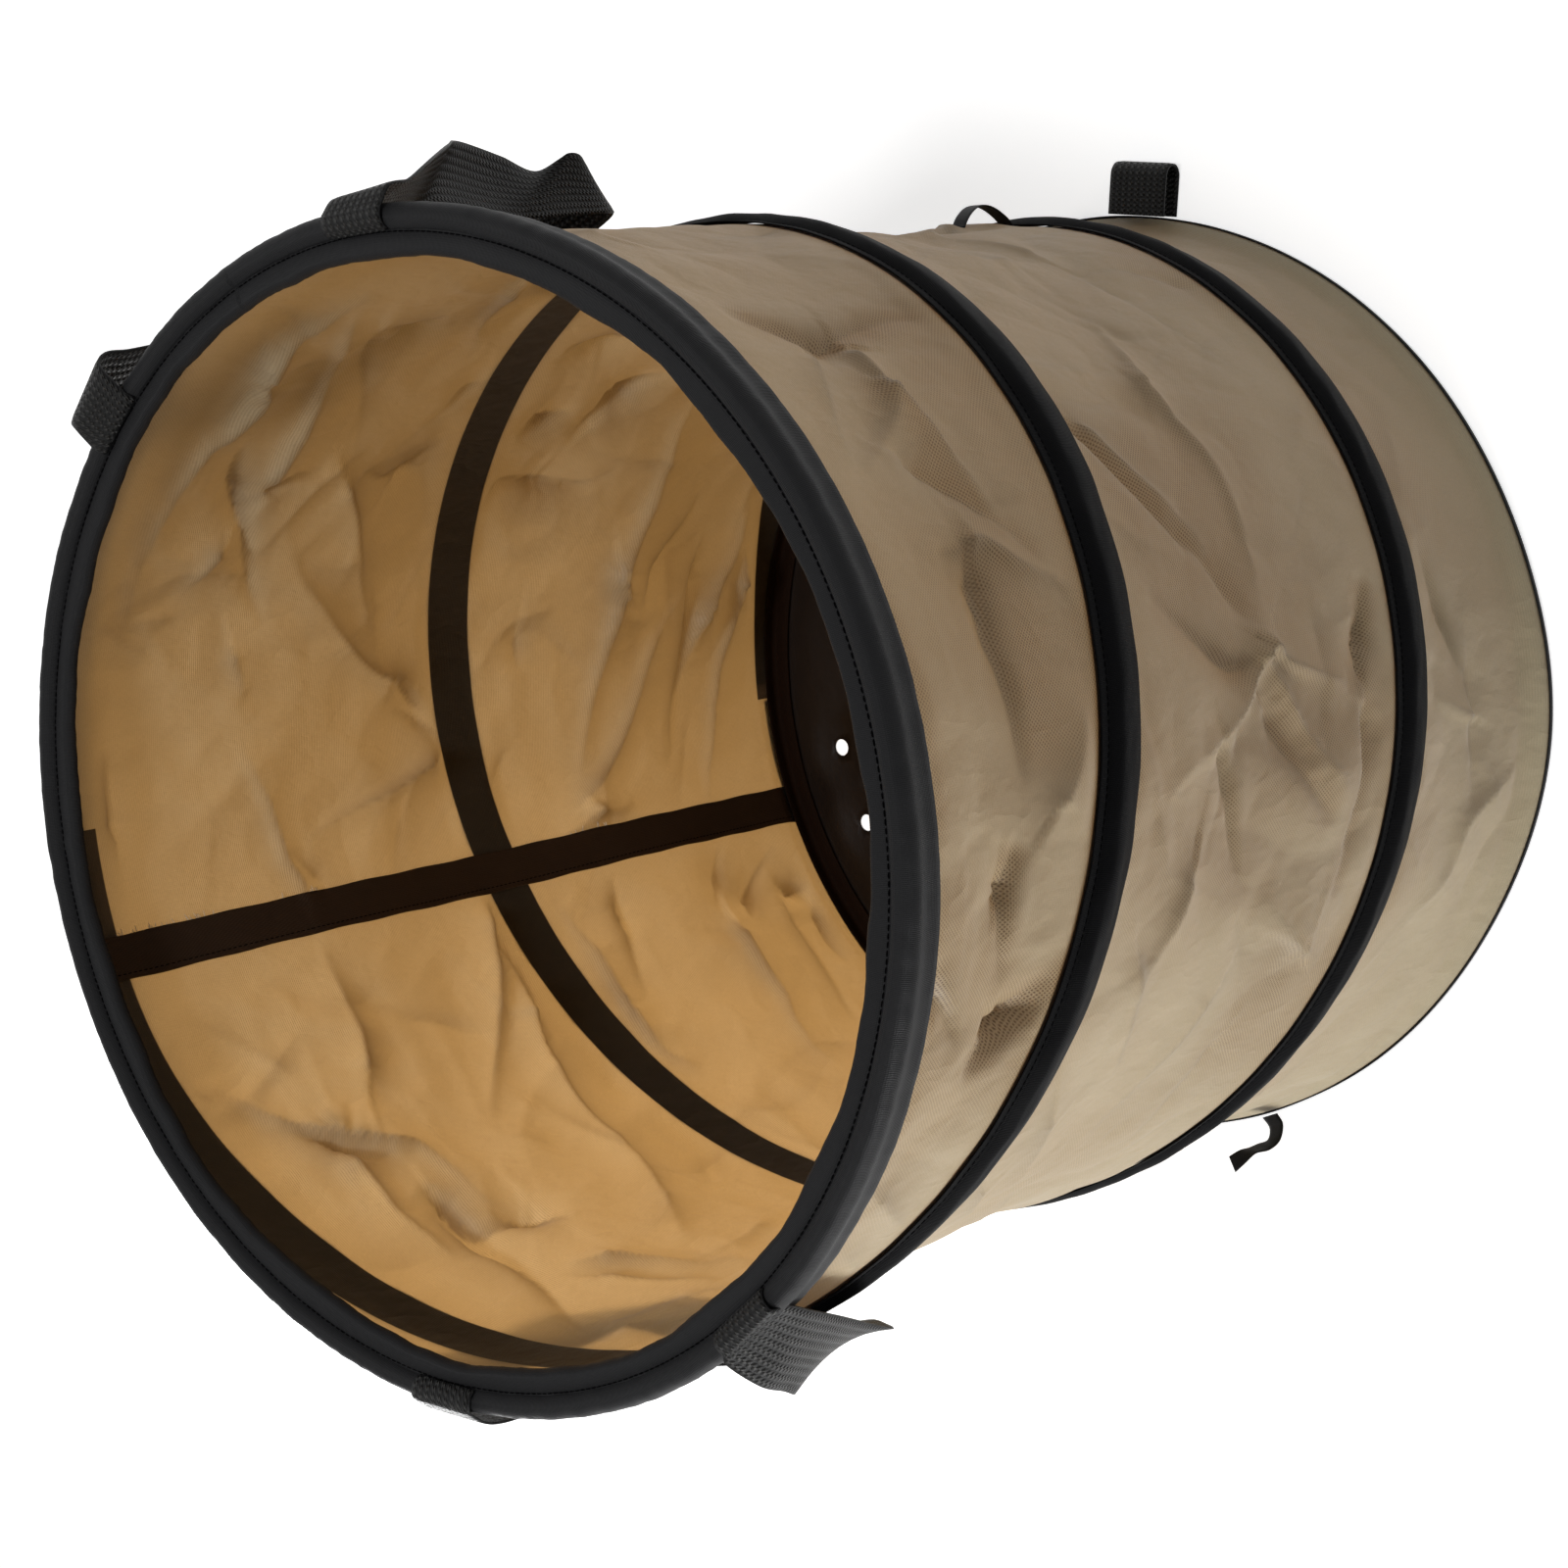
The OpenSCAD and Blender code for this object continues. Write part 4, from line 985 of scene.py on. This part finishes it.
def make_rim():
    turned = np.linspace(0, 360, 540, endpoint=False)
    outline, across = tape_ring(rim_section(), TAPE_THICKNESS)
    around = polar(1, turned, 0)
    wobble = noise3(around * 5, 31)[:, None] * 0.5 * MM
    pull = noise3(around[:, None, :] * np.array([40, 40, 1]) + np.stack(
        [outline[:, 0] * 0, outline[:, 0] * 0, outline[:, 1] * 90], axis=-1)[None], 32) * 0.35 * MM
    lip = 1 - ease((outline[:, 0] - LIP_RADIUS) / LIP_WIDTH)
    waves = (noise3(around * 3.5, 33) * 2.6 + noise3(around * 10, 34) * 1.3)[:, None] * MM * lip
    radius = outline[:, 0] + wobble + pull + waves - 0.6 * MM
    rings = polar(radius, turned[:, None], outline[:, 1] + pull * 0.5 - 0.4 * MM)
    rim = wound("mouth_binding", rings, turned, RIM_RADIUS, across)
    dress(rim, "grosgrain", "binding", "rim_binding")
    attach(rim, "rim")

    pitch = math.degrees(STITCH_PITCH / GROOVE_RADIUS)
    begin = np.arange(0, 360 - pitch, pitch)

    def in_groove(t):
        return polar(GROOVE_RADIUS - 1.4 * MM, t, GROOVE_Z + 0.55 * MM)

    seam = sew("mouth_stitches", in_groove, begin, pitch, np.tile([0, 0, 1], (len(begin), 1)), 0.35 * MM)
    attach(seam, "rim")


# ---- Base ----

BASE_FLANGE = 12 * MM
BASE_TRIM_LOW = 4.6 * MM
DRAIN_RADIUS = 5.5 * MM
DRAIN_FROM_AXIS = WALL_RADIUS - 48 * MM
DRAIN_MIDDLE = SEAM_ANGLE + 0.75
DRAIN_SPREAD = 6.75
DRAIN_ANGLES = (DRAIN_MIDDLE - DRAIN_SPREAD, DRAIN_MIDDLE + DRAIN_SPREAD)
BASE_STEP = 5 * MM
BASE_THICKNESS = 1.2 * MM


def base_relief(x, y):
    """Height of the creased base cloth over the floor."""
    place = np.stack([x, y, np.zeros_like(x)], axis=-1)
    far = np.hypot(x, y)
    free = ease((SKIRT_RADIUS - BASE_FLANGE - far - 4 * MM) / (26 * MM))
    for angle in DRAIN_ANGLES:
        hole = polar(DRAIN_FROM_AXIS, angle, 0)
        free = free * ease((np.hypot(x - hole[0], y - hole[1]) - 8 * MM) / (20 * MM))
    step = 0.95 * MM * ease((far - SKIRT_RADIUS + BASE_FLANGE + 5 * MM) / (4 * MM))
    crease = 1 - ease(np.abs(noise3(place * 6, 42)) / 0.10)
    return BASE_THICKNESS + step + free * (2.6 * MM * (noise3(place * 7, 41) + 0.6) + 2.2 * MM * crease)


def circle_points(radius, centre, count):
    return [Vector((centre[0] + radius * math.cos(a), centre[1] + radius * math.sin(a)))
            for a in np.linspace(0, 2 * math.pi, count, endpoint=False)]


def make_base_panel():
    outer = HOOP_RADIUS - 2.3 * MM
    rim_count = 300
    points, edges = [], []
    holes = [polar(DRAIN_FROM_AXIS, angle, 0)[:2] for angle in DRAIN_ANGLES]
    hole_edges = [circle_points(DRAIN_RADIUS, hole, 40) for hole in holes]
    for round_edge in [circle_points(outer, (0, 0), rim_count)] + hole_edges:
        start, count = len(points), len(round_edge)
        points += round_edge
        edges += [(start + k, start + (k + 1) % count) for k in range(count)]
    grid = np.arange(-outer, outer, BASE_STEP)
    for i, x in enumerate(grid):
        for y in grid + (BASE_STEP / 2 if i % 2 else 0):
            clear = math.hypot(x, y) < outer - BASE_STEP * 0.6
            if clear and all(math.hypot(x - h[0], y - h[1]) > DRAIN_RADIUS + BASE_STEP * 0.5 for h in holes):
                points.append(Vector((x, y)))
    flat, _, triangles, *_ = delaunay_2d_cdt(points, edges, [], 0, 1e-7)
    flat = np.array([tuple(p) for p in flat])
    middle = flat[np.array(triangles)].mean(axis=1)
    inside = np.all([np.hypot(*(middle - h).T) > DRAIN_RADIUS for h in holes], axis=0)
    triangles = np.array(triangles)[inside & (np.hypot(*middle.T) < outer)]
    height = base_relief(flat[:, 0], flat[:, 1])
    top = np.column_stack([flat, height])
    low = np.column_stack([flat, np.maximum(height - BASE_THICKNESS, 0)])
    count = len(flat)
    faces = [list(t) for t in triangles] + [[c + count for c in reversed(t)] for t in triangles]
    for k, (a, b) in enumerate(edges):
        side = [a, a + count, b + count, b]
        faces.append(side if k < rim_count else side[::-1])
    panel = new_object("base_cloth", np.concatenate([top, low]), faces, np.concatenate([flat, flat]) / MM)
    dress(panel, "base", "base_cloth", "base_panel")
    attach(panel, "base")


def make_base_seam():
    """A black tape that covers the seam of the wall and the base on the inside."""
    turned = np.linspace(0, 360, 420, endpoint=False)
    path = ([[WALL_RADIUS - 13 * MM, 2.9 * MM], [WALL_RADIUS - 7 * MM, 3.1 * MM]]
            + arc((WALL_RADIUS - 5 * MM, 6.6 * MM), (3.6 * MM, 3.4 * MM), -90, 0, 6)
            + [[WALL_RADIUS - 1.3 * MM, 9 * MM], [WALL_RADIUS - 1.4 * MM, 12.5 * MM]])
    outline, across = tape_ring(path, TAPE_THICKNESS)
    around = polar(1, turned, 0)
    wobble = noise3(around * 7, 53)[:, None] * 0.5 * MM
    rings = polar(outline[:, 0] - 0.3 * MM - np.abs(wobble), turned[:, None], outline[:, 1] + np.abs(wobble))
    tape = wound("base_seam_tape", rings, turned, WALL_RADIUS, across)
    dress(tape, "base_seam", "binding")
    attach(tape, "base")


def make_base_binding():
    """A narrow edge that stands taller where the spring's casing meets it."""
    turned = np.linspace(0, 360, 480, endpoint=False)
    half = TAPE_THICKNESS / 2
    path = ([[SKIRT_RADIUS - BASE_FLANGE, half], [SKIRT_RADIUS - 7 * MM, half]]
            + arc((SKIRT_RADIUS - 2 * MM, half + 2 * MM), (2 * MM, 2 * MM), -90, 0, 8)
            + [[SKIRT_RADIUS, 5 * MM], [SKIRT_RADIUS, BASE_TRIM_TOP]])
    outline, across = tape_ring(path, TAPE_THICKNESS)
    around = polar(1, turned, 0)
    wobble = noise3(around * 6, 51)[:, None] * 0.4 * MM * ease(outline[:, 1] / (4 * MM))
    crossing = np.abs(turn_from(turned, COIL_FROM - 14))
    top = BASE_TRIM_LOW + (BASE_TRIM_TOP - BASE_TRIM_LOW) * (1 - ease((crossing - 22) / 10))
    bend = 2.6 * MM
    share = np.clip((outline[None, :, 1] - bend) / (BASE_TRIM_TOP - bend), 0, None)
    height = np.minimum(outline[None, :, 1], bend) + share * (top[:, None] - bend)
    out = base_bulge(turned)[:, None] * ease((outline[:, 0] - SKIRT_RADIUS + 9 * MM) / (7 * MM))
    rings = polar(outline[:, 0] + wobble + out - 0.3 * MM, turned[:, None], height + wobble * 0.5)
    rings[..., 2] = np.maximum(rings[..., 2], 0)
    binding = wound("base_trim", rings, turned, SKIRT_RADIUS, across)
    dress(binding, "twill", "binding", "base_binding")
    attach(binding, "base")


# ---- Straps, loops and ribbon ----

GRAB_ANGLE = 331
GRAB_REACH = 30 * MM
GRAB_FLOOR = 1.2 * MM
GRAB_BEND = 7 * MM
TIE_LOOP_ANGLE = 337
TIE_LOOP_WIDTH = 9 * MM
TIE_LOOP_HEIGHT = 50 * MM
TIE_LOOP_DEPTH = 13 * MM
TIE_LOOP_LEAN = 3 * MM
RIBBON_WIDTH = 12 * MM


def strap(name, path, width, thickness, count=120, rows=11, oblique=False):
    """A tape along a path, whose rows are x, y, z, the way to one edge and, if need be, the depth of a cup.

    An oblique tape keeps the lean and length of the way to its edge.
    """
    curve, _ = smooth_path(path, count)
    centre, toward = curve[:, :3], curve[:, 3:6]
    cup = curve[:, 6] if curve.shape[1] > 6 else np.zeros(count)
    along = unit(np.gradient(centre, axis=0))
    if not oblique:
        toward = toward - np.sum(toward * along, axis=1, keepdims=True) * along
        toward *= width / np.linalg.norm(toward, axis=1, keepdims=True)
    up = unit(np.cross(along, toward))
    place = np.linspace(-1, 1, rows)
    middle = centre[:, None, :] + place[None, :, None] * toward[:, None, :] / 2
    middle += (cup[:, None] * (1 - place ** 2))[:, :, None] * up[:, None, :]
    plump = (thickness / 2 * np.where(np.abs(place) > 0.97, 0.6, 1))[None, :, None] * up[:, None, :]
    steps = np.linalg.norm(np.diff(middle, axis=0), axis=2)
    travel = np.concatenate([np.zeros((1, rows)), np.cumsum(steps, axis=0)])
    flat = np.stack([travel, np.broadcast_to(place * width / 2, travel.shape)], axis=-1) / MM
    rings = np.concatenate([middle + plump, (middle - plump)[:, ::-1]], axis=1)
    return swept(name, rings, np.concatenate([flat, flat[:, ::-1]], axis=1)), float(travel[-1, rows // 2])


def turn_z(points, degrees):
    a = math.radians(degrees)
    turn = np.array([[math.cos(a), -math.sin(a)], [math.sin(a), math.cos(a)]])
    points = np.array(points, float)
    for start in (0, 3):
        points[:, start:start + 2] = points[:, start:start + 2] @ turn.T
    return points


# The loops between the sewn ends: one edge's x, y, z and the other edge's, in millimetres.
HANDLE_A_EDGES = [
    (262, -117, 592, 273, -80, 590), (267, -113, 574, 272, -75, 568), (280, -105, 550, 276, -66, 542),
    (304, -78, 502, 282, -47, 512), (318, -56, 470, 285, -48, 490), (319, -40, 425, 285, -41, 443),
    (314, -35, 397, 287, -34, 420), (318, -48, 383, 289, -33, 399), (317, -43, 368, 296, -25, 343),
    (317, -33, 364, 299, -18, 329), (317, -20, 362, 295, -5, 334), (319, 4, 366, 288, 15, 350),
    (318, 35, 392, 283, 42, 385), (311, 62, 440, 281, 75, 435), (298, 82, 495, 277, 111, 490),
    (286, 95, 545, 270, 128, 545), (282, 99, 575, 264, 134, 575), (281, 99, 590, 263, 134, 590),
    (276, 97, 599, 258, 131, 599), (269, 94, 601, 252, 127, 601),
]
HANDLE_B_EDGES = [
    (-273, -70, 593, -257, -108, 585), (-287, -71, 579, -264, -101, 563), (-294, -64, 559, -273, -87, 531),
    (-298, -58, 547, -282, -73, 500), (-298, -52, 539, -290, -62, 473), (-298, -46, 531, -289, -53, 465),
    (-295, -34, 516, -285, -40, 460), (-286, -10, 498, -284, -15, 454), (-282, 35, 490, -283, 25, 448),
    (-272, 83, 484, -277, 64, 443), (-254, 129, 480, -269, 95, 441), (-254, 137, 487, -272, 99, 450),
    (-255, 137, 520, -273, 99, 514), (-254, 137, 560, -272, 99, 560), (-252, 136, 583, -269, 98, 583),
]
RIBBON_EDGES = [
    (-279, 1, 6, -279, 13, 4), (-286, -2, 9, -286, 9, 7), (-294, 0, 15, -292, 10, 12),
    (-297, 4, 23, -292, 13, 19), (-296, 8, 32, -292, 15, 27), (-299, 12, 40, -291, 15, 37),
    (-302, 17, 46, -292, 18, 45),
]


def handle_end(angle, stop):
    """Sewn end: out of the groove and over the tube, as far as stop degrees of the tube's outline."""
    lift = 1.6 * MM
    path = arc(TUBE_CENTRE, (TUBE_SIZE[0] + lift, TUBE_SIZE[1] + lift), 152, stop, 5)
    a = math.radians(angle)
    width = [WEBBING_WIDTH * math.sin(a), -WEBBING_WIDTH * math.cos(a), 0]
    return [[r * math.cos(a), r * math.sin(a), z, *width, 0] for r, z in path]


def edge_path(edges, cups=()):
    """The rows that strap() takes, from the two edges of a tape; cups gives the depth at some of the rows."""
    edges = np.array(edges) * MM
    cup = np.zeros(len(edges))
    for row, depth in cups:
        cup[row] = depth * MM
    return np.column_stack([(edges[:, :3] + edges[:, 3:]) / 2, edges[:, :3] - edges[:, 3:], cup])


def make_handle(name, angle, first, edges, last, cups, body, *nodes):
    """A strap that bends out of the rim, round its loop and back, under its sewn ends. body is not used."""
    path = np.concatenate([first, edge_path(edges, cups), last[::-1]])
    handle, length = strap(name, path, WEBBING_WIDTH, WEBBING_THICKNESS, count=420, oblique=True)
    dress(handle, "webbing", "webbing", *nodes)
    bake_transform(handle)


def make_trims():
    foot = SKIRT_RADIUS + 0.7 * MM
    middle = (foot + GRAB_REACH - GRAB_BEND, GRAB_FLOOR + GRAB_BEND)
    outline = ([[foot, GRAB_FLOOR]] + arc(middle, (GRAB_BEND, GRAB_BEND), -90, 90, 8)
               + [[foot, GRAB_FLOOR + 2 * GRAB_BEND]])
    path = turn_z([[x, 0, z, 0, 1, 0] for x, z in outline], GRAB_ANGLE)
    grab, length = strap("grab_tab", path, WEBBING_WIDTH, WEBBING_THICKNESS, count=60)
    dress(grab, "webbing", "webbing", "grab_loop")
    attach(grab, "grab_loop")

    path = edge_path(RIBBON_EDGES)
    ribbon, length = strap("tie_tape", path, RIBBON_WIDTH, TAPE_THICKNESS, count=80, rows=7, oblique=True)
    dress(ribbon, "trim", "trim_tape", "tie_ribbon")
    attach(ribbon, "tie_ribbon")

    turned = (COIL_FROM - TIE_LOOP_ANGLE) % 360
    foot_z = float(coil_height(turned)) + CASING_TOP + 2 * MM
    path = []
    for s in np.linspace(0, 1, 11):
        arch = max(math.sin(math.pi * s), 0)
        path.append([WALL_RADIUS - 1 * MM + TIE_LOOP_DEPTH * arch ** 0.8, TIE_LOOP_LEAN * arch,
                     foot_z + TIE_LOOP_HEIGHT * s, 0, 1, 0])
    path = turn_z(path, TIE_LOOP_ANGLE)
    loop, _ = strap("casing_loop", path, TIE_LOOP_WIDTH, TAPE_THICKNESS, count=60, rows=7)
    dress(loop, "trim", "trim_tape", "tie_loop")
    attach(loop, "tie_loop")


WALL = make_wall()
make_seam_tape()
make_wire()
make_casing()
make_rim()
make_base_panel()
make_base_binding()
make_base_seam()
make_handle("handle_a_strap", 2, handle_end(-19.5, 60), HANDLE_A_EDGES, handle_end(23.5, 97),
            [(4, -3), (5, -4), (6, 3), (7, -3)], "handle_a", "handle_a", "handle_a_ends")
make_handle("handle_b_strap", 177.5, handle_end(199, 60), HANDLE_B_EDGES, handle_end(156, 60),
            [(3, 3), (4, 8), (5, 8), (6, 4)], "handle_b", "handle_b", "handle_b_ends")
make_trims()
for node in ("rim_hoop", "base_hoop", "rim_sleeve", "base_sleeve"):
    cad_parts[node].data.materials.clear()
    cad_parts[node].data.materials.append(MATERIALS["wire" if node.endswith("hoop") else "sleeve"])

# ---- Camera, floor and lights ----

CAMERA_PLACE = (-0.1853, -0.9727, 1.5133)
CAMERA_RIGHT = (-0.34134, -0.70012, -0.62714)
CAMERA_UP = (0.93363, -0.32970, -0.14009)
CAMERA_VIEW = (0.10868, 0.63334, -0.76620)
CAMERA_LENS = 67.47
FLOOR_SIZE = 6
FLOOR_DROP = 0.5 * MM
FLOOR_GLOW = 0.66
WORLD_LIGHT = 0.13


def make_camera():
    data = bpy.data.cameras.new("camera")
    data.sensor_width = 36
    data.lens = CAMERA_LENS
    camera = bpy.data.objects.new("camera", data)
    bpy.context.scene.collection.objects.link(camera)
    turn = Matrix([CAMERA_RIGHT, CAMERA_UP, [-v for v in CAMERA_VIEW]]).transposed()
    camera.matrix_world = Matrix.Translation(CAMERA_PLACE) @ turn.to_4x4()
    bpy.context.scene.camera = camera


def pale_ray(s):
    """1 for a ray from the camera, a mirror or glass, 0 for light."""
    ray = s.add("ShaderNodeLightPath").outputs
    seen = s.math("MAXIMUM", ray["Is Camera Ray"], ray["Is Glossy Ray"])
    return s.math("MAXIMUM", seen, ray["Is Transmission Ray"])


def make_floor():
    corners = [(FLOOR_SIZE * x, FLOOR_SIZE * y, 0) for x, y in ((-1, -1), (1, -1), (1, 1), (-1, 1))]
    floor = new_object("floor", corners, [[0, 1, 2, 3]], smooth=False)
    floor.location.z = -FLOOR_DROP
    s = Shader(bpy.data.materials.new("pale_floor"))
    matt = s.principled((0.86, 0.86, 0.86, 1), 0.9, 0.1)
    glow = s.add("ShaderNodeEmission", {"Strength": s.math("MULTIPLY", pale_ray(s), FLOOR_GLOW)}).outputs[0]
    floor.data.materials.append(s.finish(s.add("ShaderNodeAddShader", {0: matt, 1: glow}).outputs[0]))


def make_world():
    s = Shader(bpy.data.worlds.new("studio"), "ShaderNodeOutputWorld")
    levels = {"Value": pale_ray(s), "To Min": WORLD_LIGHT, "To Max": 1.0}
    strength = s.add("ShaderNodeMapRange", levels).outputs["Result"]
    plain = s.add("ShaderNodeBackground", {"Color": (1, 1, 1, 1), "Strength": strength}).outputs[0]
    bpy.context.scene.world = s.finish(plain)


def make_lamp(name, place, size, power, aim=(0, 0, 0.3)):
    data = bpy.data.lights.new(name, "AREA")
    data.shape = "SQUARE"
    data.size = size
    data.energy = power
    lamp = bpy.data.objects.new(name, data)
    bpy.context.scene.collection.objects.link(lamp)
    lamp.location = place
    lamp.rotation_mode = "QUATERNION"
    lamp.rotation_quaternion = (Vector(aim) - Vector(place)).to_track_quat("-Z", "Y")


make_camera()
make_floor()
make_world()
make_lamp("side_soft", (-2.25, 0.2, 0.45), 0.7, 44)
make_lamp("far_soft", (-0.35, 1.1, 0.06), 0.5, 10, aim=(0, 0, 0.1))
make_lamp("near_soft", (0.9, -2.1, 0.6), 0.7, 4)
make_lamp("top_soft", (0.0, -0.3, 3.0), 0.5, 33)
bpy.context.scene.view_settings.view_transform = "Standard"
